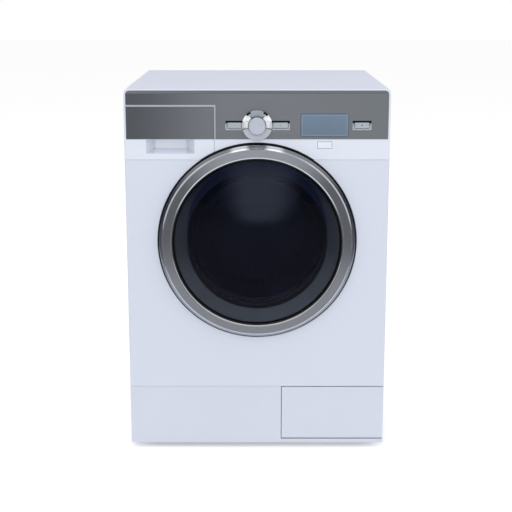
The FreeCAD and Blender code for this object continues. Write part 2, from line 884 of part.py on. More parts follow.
def control_bezels():
    """Round dial bezel with its button channel, and the bezel of the start button."""
    channel = bezel_tray(channel_left, channel_right, (left_button_span, right_button_span))
    face = -bezel_proud
    shelf = face + channel_wall
    dish = turned([(0, 0), (bezel_radius, 0), (bezel_radius, face + bezel_edge),
                   (bezel_radius - bezel_edge, face), (bezel_shelf_radius + bezel_slope, face),
                   (bezel_shelf_radius, shelf), (0, shelf)], 0, knob_height)
    neck = rod_y(0, knob_height, bezel_shelf_radius, 0, channel_depth)
    gate = dial_gate(shelf)
    boss = fuse(channel, dish, neck).cut(Part.makeCompound([gate, mirrored(gate)]))
    bore = rod_y(0, knob_height, knob_shaft_radius + run_fit, -2 * bezel_proud, front_return)
    start = bezel_tray(start_slot_span[0], start_slot_span[1], (start_button_span,))
    return Part.makeCompound([boss.cut(bore), start])


def program_knob():
    """Turning cap with its spindle, which reaches the encoder on the board."""
    foot = bezel_proud - channel_wall + slide_gap
    knob = turned([(0, -foot), (knob_radius, -foot), (knob_radius, -knob_face + knob_round),
                   (knob_radius - knob_round, -knob_face), (0, -knob_face)], 0, knob_height)
    spindle = rod_y(0, knob_height, knob_shaft_radius, -foot, board_depth - slide_gap)
    return fuse(knob, spindle)


def press_button(span):
    """Flat button with a guide stem that stops short of its switch."""
    play = button_travel + slide_gap
    base = channel_depth - play
    cap = channel_plate(span[0], span[1], button_height, -button_proud, base)
    stem = rod_y(sum(span) / 2, knob_height, button_stem_radius, base, switch_face - play)
    return fuse(cap, stem)


def display_window():
    return rounded_plate(display_span[0], display_span[1], display_bottom, display_top,
                         -fascia_thickness, display_thickness - fascia_thickness, display_corner)


def control_board():
    """Circuit board with display block, encoder and switches on its front."""
    board = slab(board_left, board_right, board_depth, board_depth + board_thickness, board_bottom, board_top)
    inset = 2 * display_corner
    screen = slab(display_span[0] + inset, display_span[1] - inset,
                  display_thickness - fascia_thickness + slide_gap, board_depth,
                  display_bottom + inset, display_top - inset)
    size = button_height / 2
    switches = [slab(sum(span) / 2 - size, sum(span) / 2 + size, switch_face, board_depth,
                     knob_height - size, knob_height + size)
                for span in (left_button_span, right_button_span, start_button_span)]
    encoder = slab(-button_height, button_height, switch_face, board_depth,
                   knob_height - button_height, knob_height + button_height)
    bore = rod_y(0, knob_height, knob_shaft_radius + run_fit, 0, board_depth)
    return fuse(board, screen, encoder.cut(bore), *switches)


# Detergent drawer pieces

def drawer_outline(inset, depth0, depth1):
    """Filled shape of the drawer front, cut round by the door ring."""
    x0 = -half_width + inset
    block = slab(x0, drawer_right - inset, depth0, depth1, panel_seam + front_gap + inset, drawer_top - inset)
    outer = edges_along(block, Vector(0, 0, 1), lambda m: m.x < x0 + 1 and m.y < back(depth0) + 1)
    block = block.makeFillet(edge_round - min(inset, edge_round - 1), outer)
    return block.cut(rod_y(0, axis_height, cutout_radius + inset, depth0 - 1, depth1 + 1))


def grip_form(wall):
    """Tapered scoop of the drawer grip, or the same form grown by a wall."""
    def frame(x0, x1, z0, z1, depth):
        return Part.makePolygon([Vector(x, back(depth), z) for x, z in
                                 ((x0, z0), (x1, z0), (x1, z1), (x0, z1), (x0, z0))])

    front = frame(grip_left - wall, grip_right + wall, grip_bottom - wall, grip_top + wall, 0)
    rear = frame(grip_left + grip_draft - wall, grip_right - grip_draft + wall,
                 grip_bottom + grip_floor_rise - wall, grip_top + wall, grip_depth + wall)
    return Part.makeLoft([front, rear], True, True)


def drawer_front():
    shell = drawer_outline(0, 0, front_return)
    shell = shell.cut(drawer_outline(moulding_wall, moulding_wall, front_return + sheet))
    behind_skin = slab(-half_width, 0, sheet, grip_well, 0, tray_bottom)
    scoop = grip_form(grip_wall).common(behind_skin)
    return fuse(shell, scoop).cut(grip_form(0))


def drawer_fascia():
    return slab(-fascia_side, drawer_right, -fascia_thickness, 0, fascia_bottom, drawer_top)


def drawer_tray():
    """Open tray with a bead along each side and two dividers that stand on its floor."""
    floor = tray_bottom + tray_wall
    front = tray_front + tray_wall
    rear = tray_back - tray_wall
    tray = slab(tray_left, tray_right, tray_front, tray_back, tray_bottom, tray_top)
    tray = tray.cut(slab(tray_left + tray_wall, tray_right - tray_wall, front, rear, floor,
                         tray_top + tray_wall))
    beads = [slab(x, x + tray_bead, front_return + sheet, tray_back - edge_round,
                  tray_top - tray_bead, tray_top)
             for x in (tray_left - tray_bead, tray_right)]
    dividers = [slab(x, x + tray_wall, front, rear, floor, tray_top) for x in tray_dividers]
    return Part.makeCompound([fuse(tray, *beads), *dividers])


def dispenser_housing():
    """Box round the drawer tray with runners, fill spout and inlet nozzle."""
    left = tray_left - tray_bead - housing_side_gap
    right = tray_right + tray_bead + housing_side_gap
    block = slab(left - housing_wall, right + housing_wall, housing_front, housing_back,
                 housing_bottom, housing_top)
    hollow = slab(left, right, 0, housing_back - housing_wall, housing_bottom + housing_wall,
                  housing_top - housing_wall)
    runner_top = tray_bottom - slide_gap
    runners = [slab(x - tray_wall, x + tray_wall, housing_front, housing_back - housing_wall,
                    housing_bottom, runner_top)
               for x in (tray_left + 4 * tray_wall, tray_right - 4 * tray_wall)]
    ear = slab(right, panel_left, housing_front, housing_front + housing_wall,
               (housing_bottom + housing_top) / 2, housing_top)
    spout = rod_z(fill_x, back(fill_depth), fill_radius, housing_bottom - fill_spout, housing_bottom + 1)
    nozzle = rod_y(inlet_x, inlet_height, inlet_nozzle_radius(), housing_back - housing_wall / 2,
                   housing_back + inlet_nozzle)
    bores = [rod_z(fill_x, back(fill_depth), fill_radius - housing_wall, housing_bottom - fill_spout,
                   housing_bottom + housing_wall),
             rod_y(inlet_x, inlet_height, inlet_nozzle_radius() - tray_wall, housing_back - housing_wall,
                   housing_back + inlet_nozzle)]
    return fuse(block.cut(hollow), ear, spout, nozzle, *runners).cut(Part.makeCompound(bores))


def inlet_nozzle_radius():
    return inlet_hose_radius - inlet_hose_wall - slide_gap


def inlet_valve():
    """Solenoid valve on the rear panel with its threaded water inlet."""
    inside = body_depth - sheet
    half = inlet_body / 2
    body = slab(inlet_x - half, inlet_x + half, inside - inlet_body, inside, inlet_height - half,
                inlet_height + half)
    shoulder = body_depth + fitting_stand
    neck = rod_y(inlet_x, inlet_height, inlet_thread_radius - fitting_neck, inside, shoulder)
    thread = rod_y(inlet_x, inlet_height, inlet_thread_radius, shoulder, body_depth + rear_reach)
    nozzle = rod_y(inlet_x, inlet_height, inlet_nozzle_radius(), inside - inlet_body - inlet_nozzle,
                   inside - inlet_body)
    bore = rod_y(inlet_x, inlet_height, inlet_bore_radius, body_depth, body_depth + rear_reach + 1)
    return fuse(body, neck, thread, nozzle).cut(bore)


def inlet_hose():
    """Inner hose from the valve to the dispenser."""
    start = housing_back + slide_gap
    end = body_depth - sheet - inlet_body - slide_gap
    tube = rod_y(inlet_x, inlet_height, inlet_hose_radius, start, end)
    return tube.cut(rod_y(inlet_x, inlet_height, inlet_hose_radius - inlet_hose_wall, start, end))


def fill_bellows():
    """Ribbed hose from the dispenser to the tub."""
    low = tub_nozzle_top() - fill_spout + slide_gap
    high = housing_bottom - slide_gap
    bore = fill_radius + slide_gap
    skin = bore + fill_hose_wall
    pitch = (high - low - 2 * fill_spout) / fill_hose_ribs
    profile = [(bore, low), (skin, low), (skin, low + fill_spout)]
    for rib in range(fill_hose_ribs):
        foot = low + fill_spout + rib * pitch
        profile += [(skin + fill_hose_rib, foot + pitch * fill_hose_crown),
                    (skin + fill_hose_rib, foot + pitch * (1 - fill_hose_crown)), (skin, foot + pitch)]
    profile += [(skin, high), (bore, high)]
    return turned_upright(profile, fill_x, back(fill_depth))


def tub_nozzle_top():
    """Height of the tub's fill nozzle, above the tub wall at its place."""
    return axis_height + math.sqrt(tub_radius ** 2 - fill_x ** 2) + tub_nozzle_rise


# Door pieces

def door_ring():
    """Brushed ring with a polished bevel outside and a polished lip inside, as a hollow section."""
    slope = ring_wall * half_mitre
    lip_foot = ring_top + ring_rise - ring_lip_drop
    return turned([
        (ring_radius, -ring_back), (ring_radius, -ring_shoulder), (ring_flat_outer, -ring_top),
        (ring_flat_inner, -ring_top - ring_rise), (ring_inner, -lip_foot), (ring_inner, -frame_shoulder),
        (ring_inner + ring_wall, -frame_shoulder), (ring_inner + ring_wall, -lip_foot + ring_wall),
        (ring_flat_inner, -ring_top - ring_rise + ring_wall),
        (ring_flat_outer - slope, -ring_top + ring_wall),
        (ring_radius - ring_wall, -ring_shoulder + slope), (ring_radius - ring_wall, -ring_back)])


def hinge_notch(front, rear):
    """Room in the door's back for the fixed hinge arm."""
    right = hinge_x - knuckle_radius - arm_stem_gap - arm_stem - 2 * arm_plate
    half = knuckle_half + ear_gap
    return slab(-half_width, -right, -front, rear, axis_height - half, axis_height + half)


def door_frame():
    """Moulded ring that carries the window, the bowl, the ring and the hinge ears."""
    body = turned([(window_radius - slide_gap, -window_seat), (window_radius - slide_gap, -frame_shoulder),
                   (frame_radius, -frame_shoulder), (frame_radius, -frame_back),
                   (frame_step_radius, -frame_back), (bowl_flange_radius + seam_gap, -cone_back),
                   (cone_radius, -cone_back), (window_radius - window_seat_width, -window_seat)])
    body = body.cut(hinge_notch(frame_shoulder + seam_gap, front_return))
    ears = []
    for sign in (-1, 1):
        near = axis_height + sign * (knuckle_half + ear_gap)
        far = near + sign * ear_length
        low, high = min(near, far), max(near, far)
        eye = rod_z(-hinge_x, back(-hinge_forward), knuckle_radius, low, high)
        web = slab(-hinge_x, -frame_radius + ear_root, -hinge_forward - arm_bar_half,
                   -frame_shoulder + ear_seat, low, high)
        ears += [eye, web]
    bore = rod_z(-hinge_x, back(-hinge_forward), pin_radius, 0, overall_height)
    return fuse(body, *ears).cut(bore)


def hinge_pin():
    half = knuckle_half + ear_gap + ear_length
    return rod_z(-hinge_x, back(-hinge_forward), pin_radius, axis_height - half, axis_height + half)


def hinge_arm():
    """Goose-neck arm fixed in the dish: foot, stem, bar and knuckle."""
    low = axis_height - knuckle_half
    high = axis_height + knuckle_half
    stem_left = -hinge_x + knuckle_radius + arm_stem_gap
    front = -hinge_forward - arm_bar_half
    foot = slab(stem_left, stem_left + arm_foot, dish_depth - arm_plate, dish_depth, low, high)
    stem = slab(stem_left, stem_left + arm_stem, front, dish_depth, low, high)
    bar = slab(-hinge_x, stem_left + arm_stem, front, -hinge_forward + arm_bar_half, low, high)
    knuckle = rod_z(-hinge_x, back(-hinge_forward), knuckle_radius, low, high)
    bore = rod_z(-hinge_x, back(-hinge_forward), pin_radius + run_fit, low - 1, high + 1)
    return fuse(foot, stem, bar, knuckle).cut(bore)


def shallow_cap(radius, rim, rise, thickness):
    """Domed disc: rim plane at a forward distance, with its crown further forward."""
    def arc(offset):
        edge = Vector(radius, back(-rim + offset), axis_height)
        crown = Vector(0, back(-rim - rise + offset), axis_height)
        ball = (radius ** 2 + rise ** 2) / (2 * rise)
        half = math.asin(radius / ball) / 2
        middle = Vector(ball * math.sin(half), back(-rim - rise + offset + ball * (1 - math.cos(half))),
                        axis_height)
        return crown, middle, edge

    front = arc(0)
    rear = arc(thickness)
    outline = Part.Wire([
        Part.Arc(*front).toShape(),
        Part.LineSegment(front[2], rear[2]).toShape(),
        Part.Arc(rear[2], rear[1], rear[0]).toShape(),
        Part.LineSegment(rear[0], front[0]).toShape(),
    ])
    return Part.Face(outline).revolve(Vector(0, 0, axis_height), Vector(0, 1, 0), 360)


def door_window():
    return shallow_cap(window_radius, window_front, window_rise, window_thickness)


def door_bowl():
    """Pressed glass bowl that keeps the washing off the window."""
    flange = -cone_back
    rear = flange + bowl_wall
    return turned([(bowl_flange_radius, flange), (bowl_flange_radius, rear), (bowl_mouth_radius, rear),
                   (bowl_floor_radius, bowl_depth), (bowl_knee_radius, bowl_depth + bowl_knee_depth),
                   (0, bowl_depth + bowl_dome), (0, bowl_depth + bowl_dome - bowl_wall),
                   (bowl_knee_radius - bowl_wall / 2, bowl_depth + bowl_knee_depth - bowl_wall),
                   (bowl_floor_radius - bowl_wall, bowl_depth - bowl_wall / 2),
                   (bowl_mouth_radius - bowl_wall, flange)])


def door_back_ring():
    """Inner cover of the door, which clamps the bowl and carries the latch hook."""
    flange = -cone_back + bowl_wall
    outer_lip = bowl_flange_radius + slide_gap
    inner_lip = bowl_mouth_radius + back_ring_lap
    ring = turned([(frame_radius, -frame_back), (frame_radius, -back_ring_face),
                   (spigot_radius, -back_ring_face), (spigot_radius, spigot_depth),
                   (inner_lip, spigot_depth), (inner_lip, flange),
                   (outer_lip, flange), (outer_lip, -cone_back + slide_gap),
                   (frame_step_radius, -frame_back)])
    ring = ring.cut(hinge_notch(frame_shoulder + seam_gap, front_return))
    half = latch_width / 2 + seam_gap
    reach = latch_height / 2 + seam_gap
    pocket = slab(latch_x - half, latch_x + half, -frame_back - 1, -back_ring_face + 1,
                  axis_height - reach, axis_height + reach)
    middle = (-frame_back - back_ring_face) / 2
    bore = rod_z(latch_x, back(middle), latch_pin_radius + run_fit, axis_height - latch_height,
                 axis_height + latch_height)
    return ring.cut(pocket).cut(bore)


def latch_hook():
    """Sprung hook on a cross pin, with a barb that the lock holds."""
    middle = (-frame_back - back_ring_face) / 2
    half = latch_width / 2
    profile = [(latch_x - half, -frame_back + seam_gap), (latch_x + half, -frame_back + seam_gap),
               (latch_x + half, latch_reach - latch_nose), (latch_x + half - latch_barb, latch_reach),
               (latch_x - half + latch_barb / 2, latch_reach),
               (latch_x - half - latch_barb, latch_reach - latch_barb_length),
               (latch_x - half, latch_reach - latch_barb_length)]
    points = [Vector(x, back(depth), axis_height - latch_height / 2) for x, depth in profile]
    hook = polygon_face(points).extrude(Vector(0, 0, latch_height))
    pin = rod_z(latch_x, back(middle), latch_pin_radius, axis_height - latch_height + 1,
                axis_height + latch_height - 1)
    return fuse(hook, pin)


def door_lock():
    """Interlock box behind the dish with the mouth for the hook."""
    front = dish_depth + sheet
    half = lock_width / 2
    shift = latch_slot_room
    body = slab(latch_x - half + shift, latch_x + half + shift, front, front + lock_depth,
                axis_height - lock_height / 2, axis_height + lock_height / 2)
    return body.cut(latch_slot(front - 1, front + lock_depth - moulding_wall))


def gasket():
    """Rubber bellows: groove on the panel's neck, sealing lip, one fold, bead on the tub collar."""
    panel_face = dish_depth - seam_gap
    neck_end = dish_depth + sheet + neck_length
    inner = opening_radius - sheet - slide_gap
    outer = opening_radius + slide_gap
    wall = gasket_wall
    groove = dish_depth + 3 * sheet
    web = neck_end + wall
    fold = web + gasket_fold_front
    valley = fold + gasket_fold_length
    crest = gasket_fold_radius + wall
    trough = gasket_fold_low + wall
    bead = tub_collar_front
    bead_end = bead + gasket_bead_length
    collar = tub_collar_radius + slide_gap
    lip = gasket_lip_depth + sheet
    return turned([
        (inner - wall, panel_face), (inner, panel_face), (inner, neck_end + slide_gap),
        (outer, neck_end + slide_gap), (outer, groove), (outer + wall, groove), (outer + wall, web),
        (crest, fold), (crest, fold + gasket_fold_crown), (trough, valley), (trough, valley + sheet),
        (collar + wall, bead), (collar + wall, bead_end), (collar, bead_end), (collar, bead - slide_gap),
        (collar - wall, bead - sheet - slide_gap), (gasket_fold_low, valley + gasket_fold_crown),
        (gasket_fold_low, valley - sheet), (gasket_fold_radius - sheet, fold + sheet),
        (outer, web + gasket_web), (inner - wall, web + gasket_web),
        (gasket_lip_radius, lip + gasket_web), (gasket_lip_radius, lip),
        (inner - wall, neck_end)])


# Tub pieces

def tub_well(wall):
    """Trough at the bottom of the tub for the heater, grown by a wall."""
    return slab(well_left - wall, well_right + wall, well_front - wall, well_back + wall,
                well_floor - wall, axis_height - drum_radius)


def tub_bore():
    return turned([(0, tub_front_depth + tub_wall), (tub_radius - tub_wall, tub_front_depth + tub_wall),
                   (tub_radius - tub_wall, tub_rear_depth), (0, tub_rear_depth)])


def spring_lug():
    """Ear on the tub's right shoulder that hangs on the spring."""
    reach = spring_radius + spring_wire
    root = math.sqrt(tub_radius ** 2 - (spring_foot - axis_height) ** 2) - 2 * tub_wall
    return prism_y([(root - reach, spring_foot - 4 * reach), (spring_x + reach, spring_foot - reach),
                    (spring_x + reach, spring_foot), (root, spring_foot)],
                   spring_depth - reach, spring_depth + reach)


def damper_lug():
    """Foot under the tub's right flank that rides on the damper rod."""
    top = axis_height - math.sqrt(tub_radius ** 2 - (damper_x + damper_radius) ** 2)
    return slab(damper_x - damper_radius, damper_x + damper_radius, damper_depth - damper_radius,
                damper_depth + damper_radius, damper_head, top)


def tub_front():
    """Front half of the tub: mouth collar, front wall, heater trough and fill nozzle."""
    body = turned([(0, tub_front_depth), (tub_radius, tub_front_depth), (tub_radius, tub_split),
                   (0, tub_split)])
    collar = turned([(tub_collar_radius, tub_collar_front), (tub_collar_radius, tub_front_depth + tub_wall),
                     (0, tub_front_depth + tub_wall), (0, tub_collar_front)])
    nozzle_y = back(fill_depth)
    nozzle = rod_z(fill_x, nozzle_y, fill_radius, axis_height, tub_nozzle_top())
    sump = rod_z(sump_x, back(sump_depth), sump_hose_radius - sump_hose_wall - slide_gap,
                 well_floor - 2 * sump_hose_radius, well_floor)
    mouth = rod_y(0, axis_height, tub_collar_radius - tub_collar_wall, 0, tub_split)
    tub = fuse(body, collar, tub_well(tub_wall), nozzle, sump)
    tub = tub.cut(tub_bore()).cut(tub_well(0)).cut(mouth)
    tub = tub.cut(rod_z(fill_x, nozzle_y, fill_radius - fill_hose_wall, axis_height, tub_nozzle_top() + 1))
    tub = tub.cut(rod_z(sump_x, back(sump_depth), sump_hose_radius - 2 * sump_hose_wall,
                        well_floor - 3 * sump_hose_radius, well_floor + 1))
    return tub.cut(Part.makeCompound(heater_legs(heater_tube + slide_gap)))


def tub_rear():
    """Rear half of the tub with bearing hub, lugs and motor mounts."""
    end = tub_rear_depth + tub_wall
    body = turned([(0, tub_split), (tub_radius, tub_split), (tub_radius, end), (0, end)])
    hub = rod_y(0, axis_height, bearing_radius + hub_wall, tub_rear_depth, tub_rear_depth + hub_length)
    ribs = []
    for k in range(tub_ribs):
        rib = slab(bearing_radius, tub_radius - tub_wall, end, end + tub_rib_depth,
                   axis_height - tub_wall / 2, axis_height + tub_wall / 2)
        rib.rotate(Vector(0, 0, axis_height), Vector(0, 1, 0), (k + 0.5) * 360 / tub_ribs)
        ribs.append(rib)
    lugs = [spring_lug(), mirrored(spring_lug()), damper_lug(), mirrored(damper_lug())]
    tub = fuse(body, hub, *lugs, *ribs, *motor_lugs(motor_seat(), axis_height - tub_radius / 2))
    tub = tub.cut(tub_bore())
    return tub.cut(rod_y(0, axis_height, bearing_radius, tub_rear_depth - 1, end + hub_length))


def motor_seat():
    """Height where the motor's ears meet the lugs of the tub."""
    return motor_height + motor_radius + motor_lug


def motor_lugs(low, high):
    rear = tub_rear_depth
    return [slab(motor_x - motor_lug_half, motor_x + motor_lug_half, depth, depth + motor_lug, low, high)
            for depth in (rear - motor_lug, rear - 4 * motor_lug)]


def counterweights():
    """Two cast ring segments on the tub's front wall."""
    ring = turned([(weight_inner, weight_front), (weight_outer, weight_front),
                   (weight_outer, tub_front_depth), (weight_inner, tub_front_depth)])
    reach = 2 * weight_outer
    angle = math.radians(weight_half_angle)
    wedge = prism_y([(0, axis_height), (reach * math.sin(angle), axis_height + reach * math.cos(angle)),
                     (0, axis_height + 2 * reach),
                     (-reach * math.sin(angle), axis_height + reach * math.cos(angle))],
                    weight_front - 1, tub_front_depth + 1)
    upper = ring.common(wedge)
    lower = upper.mirror(Vector(0, 0, axis_height), Vector(0, 0, 1))
    return Part.makeCompound([upper, lower])


def heater_leg_places():
    middle = (well_left + well_right) / 2
    half = (well_right - well_left) / 4
    return middle - half, middle + half


def heater_legs(radius):
    return [rod_y(x, heater_height, radius, well_front - 2 * tub_wall, well_front + heater_reach)
            for x in heater_leg_places()]


def heater():
    """Bent heating rod on its sealing flange."""
    left, right = heater_leg_places()
    turn_y = back(well_front + heater_reach)
    rod_end = Part.Face(Part.Wire(Part.Circle(Vector(left, turn_y, heater_height), Vector(0, 1, 0),
                                              heater_tube).toShape()))
    loop = rod_end.revolve(Vector((left + right) / 2, turn_y, heater_height), Vector(0, 0, -1), 180)
    flange_front = well_front - 2 * tub_wall
    flange = oblong(left - heater_flange_reach, right + heater_flange_reach, heater_height, heater_flange,
                    flange_front, well_front - tub_wall)
    return fuse(flange, loop, *heater_legs(heater_tube))


def motor():
    """Drive motor with two mounting ears and vent slots in its end shields."""
    front = pulley_depth - motor_length - pulley_width
    rear = pulley_depth - pulley_width / 2
    step = motor_chamfer
    can = turned([(0, front), (motor_radius - step, front), (motor_radius, front + step),
                  (motor_radius, rear - step), (motor_radius - step, rear), (0, rear)], motor_x, motor_height)
    ears = motor_lugs(motor_height, motor_seat())
    bore = rod_y(motor_x, motor_height, motor_shaft_radius + run_fit, rear - motor_length / 2, rear + 1)
    return fuse(can, *ears).cut(bore)


def motor_rotor():
    """Motor shaft with the small grooved pulley."""
    rear = pulley_depth - pulley_width / 2
    shaft = rod_y(motor_x, motor_height, motor_shaft_radius, rear - motor_length / 2 + slide_gap,
                  pulley_depth + pulley_width)
    wheel = rod_y(motor_x, motor_height, motor_pulley_radius, pulley_depth, pulley_depth + pulley_width)
    return fuse(shaft, wheel)


def drive_belt():
    start = pulley_depth + (pulley_width - belt_width) / 2
    outer = belt_loop(slide_gap + belt_thickness, start, start + belt_width)
    return outer.cut(belt_loop(slide_gap, start - 1, start + belt_width + 1))


def shaft_bearings():
    first = tub_rear_depth + tub_wall
    bearings = []
    for depth in (first, first + bearing_spacing):
        outer = rod_y(0, axis_height, bearing_radius, depth, depth + bearing_width)
        bearings.append(outer.cut(rod_y(0, axis_height, shaft_radius + run_fit, depth - 1,
                                        depth + bearing_width + 1)))
    return Part.makeCompound(bearings)


def suspension_springs():
    """Coil springs with their end plates, drawn as one ribbed sleeve each."""
    pitch = (spring_top - spring_foot) / spring_turns
    profile = [(spring_radius - spring_wire, spring_foot)]
    for turn in range(spring_turns):
        foot = spring_foot + turn * pitch
        profile += [(spring_radius, foot), (spring_radius + spring_wire / 2, foot + pitch / 2),
                    (spring_radius, foot + pitch)]
    profile.append((spring_radius - spring_wire, spring_top))
    unique = [point for k, point in enumerate(profile) if k == 0 or point != profile[k - 1]]
    return pair(turned_upright(unique, spring_x, back(spring_depth)))


def damper_cylinders():
    seat = base_floor + base_wall
    body = rod_z(damper_x, back(damper_depth), damper_radius, seat, damper_top)
    bore = rod_z(damper_x, back(damper_depth), damper_rod_radius + slide_gap, damper_bore_floor, damper_head)
    return pair(body.cut(bore))


def damper_rods():
    foot = damper_bore_floor + tub_travel + damper_spare
    return pair(rod_z(damper_x, back(damper_depth), damper_rod_radius, foot, damper_head))


# Drum pieces

def drum_front_ring():
    """Pressed front of the drum with its rolled mouth."""
    front = drum_front_depth
    lip = drum_mouth_radius
    rear = front + drum_sheet + drum_seam
    return turned([(drum_radius, front), (lip + drum_lip, front), (lip + drum_roll, front - drum_roll),
                   (lip + drum_roll, front - drum_lip), (lip, front - drum_lip), (lip, front),
                   (lip + drum_lip - drum_roll, rear), (drum_radius, rear)])


def drum_wrapper():
    front = drum_front_depth + drum_sheet + drum_seam
    outer = rod_y(0, axis_height, drum_radius, front, drum_back_depth)
    return outer.cut(rod_y(0, axis_height, drum_radius - drum_sheet, front - 1, drum_back_depth + 1))


def drum_back():
    """Dished rear wall of the drum."""
    rear = drum_back_depth
    boss = drum_back_boss
    hub = spider_hub_radius
    return turned([(0, rear - boss), (hub, rear - boss), (hub + 3 * boss, rear), (drum_radius, rear),
                   (drum_radius, rear + drum_sheet), (hub + 3 * boss, rear + drum_sheet),
                   (hub, rear - boss + drum_sheet), (0, rear - boss + drum_sheet)])


def drum_lifters():
    """Three hollow-looking paddles with drafted flanks, on the inside of the wrapper."""
    lifters = []
    wall = drum_radius - drum_sheet
    front = drum_front_depth + 6 * drum_sheet
    rear = drum_back_depth - 3 * drum_sheet
    draft = lifter_height / 4
    for k in range(lifter_count):
        def section(depth, crown_height):
            low = axis_height - wall - 1
            crown = axis_height - wall + crown_height
            return Part.makePolygon([Vector(x, back(depth), z) for x, z in
                                     ((-lifter_width / 2, low), (lifter_width / 2, low),
                                      (lifter_crown / 2, crown), (-lifter_crown / 2, crown),
                                      (-lifter_width / 2, low))])

        stations = [section(front, lifter_height - 2 * draft), section(front + 2 * draft, lifter_height),
                    section(rear - draft, lifter_height), section(rear, lifter_height - draft)]
        bar = Part.makeLoft(stations, True, True)
        bar = bar.common(rod_y(0, axis_height, wall, front - 1, rear + 1))
        bar.rotate(Vector(0, 0, axis_height), Vector(0, 1, 0), k * 360 / lifter_count)
        lifters.append(bar)
    return Part.makeCompound(lifters)


def drum_spider():
    """Cast three-armed spider with the drum shaft."""
    front = drum_back_depth + drum_sheet
    arms = []
    for k in range(lifter_count):
        arm = prism_y([(-spider_arm_width / 2, axis_height), (spider_arm_width / 2, axis_height),
                       (spider_tip_width / 2, axis_height + drum_radius - spider_edge),
                       (-spider_tip_width / 2, axis_height + drum_radius - spider_edge)],
                      front, front + spider_thickness)
        arm = arm.common(rod_y(0, axis_height, drum_radius - spider_edge, front, front + spider_thickness))
        arm.rotate(Vector(0, 0, axis_height), Vector(0, 1, 0), (k + 0.5) * 360 / lifter_count)
        arms.append(arm)
    hub = rod_y(0, axis_height, spider_hub_radius, front, front + spider_thickness + spider_hub_step)
    shaft = rod_y(0, axis_height, shaft_radius, front, drum_back_depth + shaft_length)
    return fuse(hub, shaft, *arms)


def drum_pulley():
    """Spoked pulley keyed on the end of the shaft."""
    front = pulley_depth
    rear = front + pulley_width
    middle = (front + rear) / 2
    rim = pulley_radius - pulley_rim
    hub = 2 * shaft_radius
    web_front = middle - pulley_web / 2
    web_rear = middle + pulley_web / 2
    wheel = turned([(pulley_radius, front), (pulley_radius, rear), (rim, rear), (rim, web_rear),
                    (hub, web_rear), (hub, rear), (shaft_radius, rear), (shaft_radius, front), (hub, front),
                    (hub, web_front), (rim, web_front), (rim, front)])
    windows = []
    reach = (rim + hub) / 2
    for k in range(pulley_spokes):
        angle = math.radians(k * 360 / pulley_spokes)
        windows.append(rod_y(reach * math.cos(angle), axis_height + reach * math.sin(angle),
                             pulley_window, front, rear))
    return wheel.cut(Part.makeCompound(windows))


# Water path at the bottom

def sump_hose():
    """Hose from the tub's trough to the pump."""
    y = back(sump_depth)
    pump_side = pump_x - pump_radius - slide_gap
    points = (Vector(sump_x, y, well_floor - tub_wall - slide_gap), Vector(sump_x, y, pump_height),
              Vector(pump_side, y, pump_height))
    return bent_tube(points, sump_bend, sump_hose_radius, sump_hose_radius - sump_hose_wall)


def drain_pump():
    """Pump with its filter chamber, inlet and outlet nozzles and feet."""
    end = pump_front + pump_chamber
    chamber = rod_y(pump_x, pump_height, pump_radius, pump_front, end)
    drive = rod_y(pump_x, pump_height, pump_motor_radius, end, end + pump_motor_length)
    inlet = rod_x(back(sump_depth), pump_height, sump_hose_radius - sump_hose_wall - slide_gap,
                  pump_x - 2 * pump_radius, pump_x)
    outlet = rod_x(back(drain_depth), pump_height, drain_hose_radius - drain_hose_wall - slide_gap,
                   pump_x, pump_x + pump_radius + pump_outlet)
    seat = base_floor + base_wall
    stand = slab(pump_x - pump_stand_half, pump_x + pump_stand_half, pump_front + pump_stand_inset,
                 end - pump_stand_inset, seat, pump_height)
    bore = rod_y(pump_x, pump_height, pump_radius - pump_wall, 0, pump_front + pump_bore_depth)
    return fuse(chamber, drive, inlet, outlet, stand).cut(bore)


def pump_filter():
    """Screw cap with its finger bar and the sieve that reaches into the chamber."""
    front = pump_front - slide_gap - filter_cap_thickness
    cap = rod_y(pump_x, pump_height, filter_cap_radius, front, pump_front - slide_gap)
    bar = rounded_plate(pump_x - filter_grip_half, pump_x + filter_grip_half, pump_height - filter_grip / 2,
                        pump_height + filter_grip / 2, front - filter_grip, front, filter_round)
    sieve = rod_y(pump_x, pump_height, pump_radius - pump_wall - filter_sieve_gap, pump_front - slide_gap,
                  pump_front + filter_sieve)
    return fuse(cap, bar, sieve)


def drain_hose():
    """Drain hose from the pump to its spigot behind the machine."""
    y = back(drain_depth)
    points = (Vector(pump_x + pump_radius + slide_gap, y, pump_height), Vector(drain_x, y, pump_height),
              Vector(drain_x, back(body_depth + rear_reach), pump_height))
    tube = bent_tube(points, drain_bend, drain_hose_radius, drain_hose_radius - drain_hose_wall)
    collar = rod_y(drain_x, pump_height, drain_hose_radius + drain_collar, body_depth - sheet - drain_collar,
                   body_depth - sheet)
    bore = rod_y(drain_x, pump_height, drain_hose_radius - drain_hose_wall, drain_depth + drain_bend,
                 body_depth)
    shoulder = body_depth + fitting_stand
    groove = rod_y(drain_x, pump_height, drain_hose_radius + drain_collar, body_depth - sheet, shoulder)
    neck = rod_y(drain_x, pump_height, drain_hose_radius - fitting_neck, body_depth - sheet, shoulder)
    return fuse(tube, collar.cut(bore)).cut(groove.cut(neck))


def cord_gland():
    """Grommet in the rear panel where the mains lead enters."""
    inside = body_depth - sheet
    outer = gland_radius + gland_lip
    front = inside - gland_inside
    rear = body_depth + gland_outside
    return turned([(gland_bore, front), (outer, front), (outer, inside), (gland_radius, inside),
                   (gland_radius, body_depth), (outer, body_depth), (gland_radius, rear),
                   (gland_bore, rear)], gland_x, gland_height)


# Plinth pieces

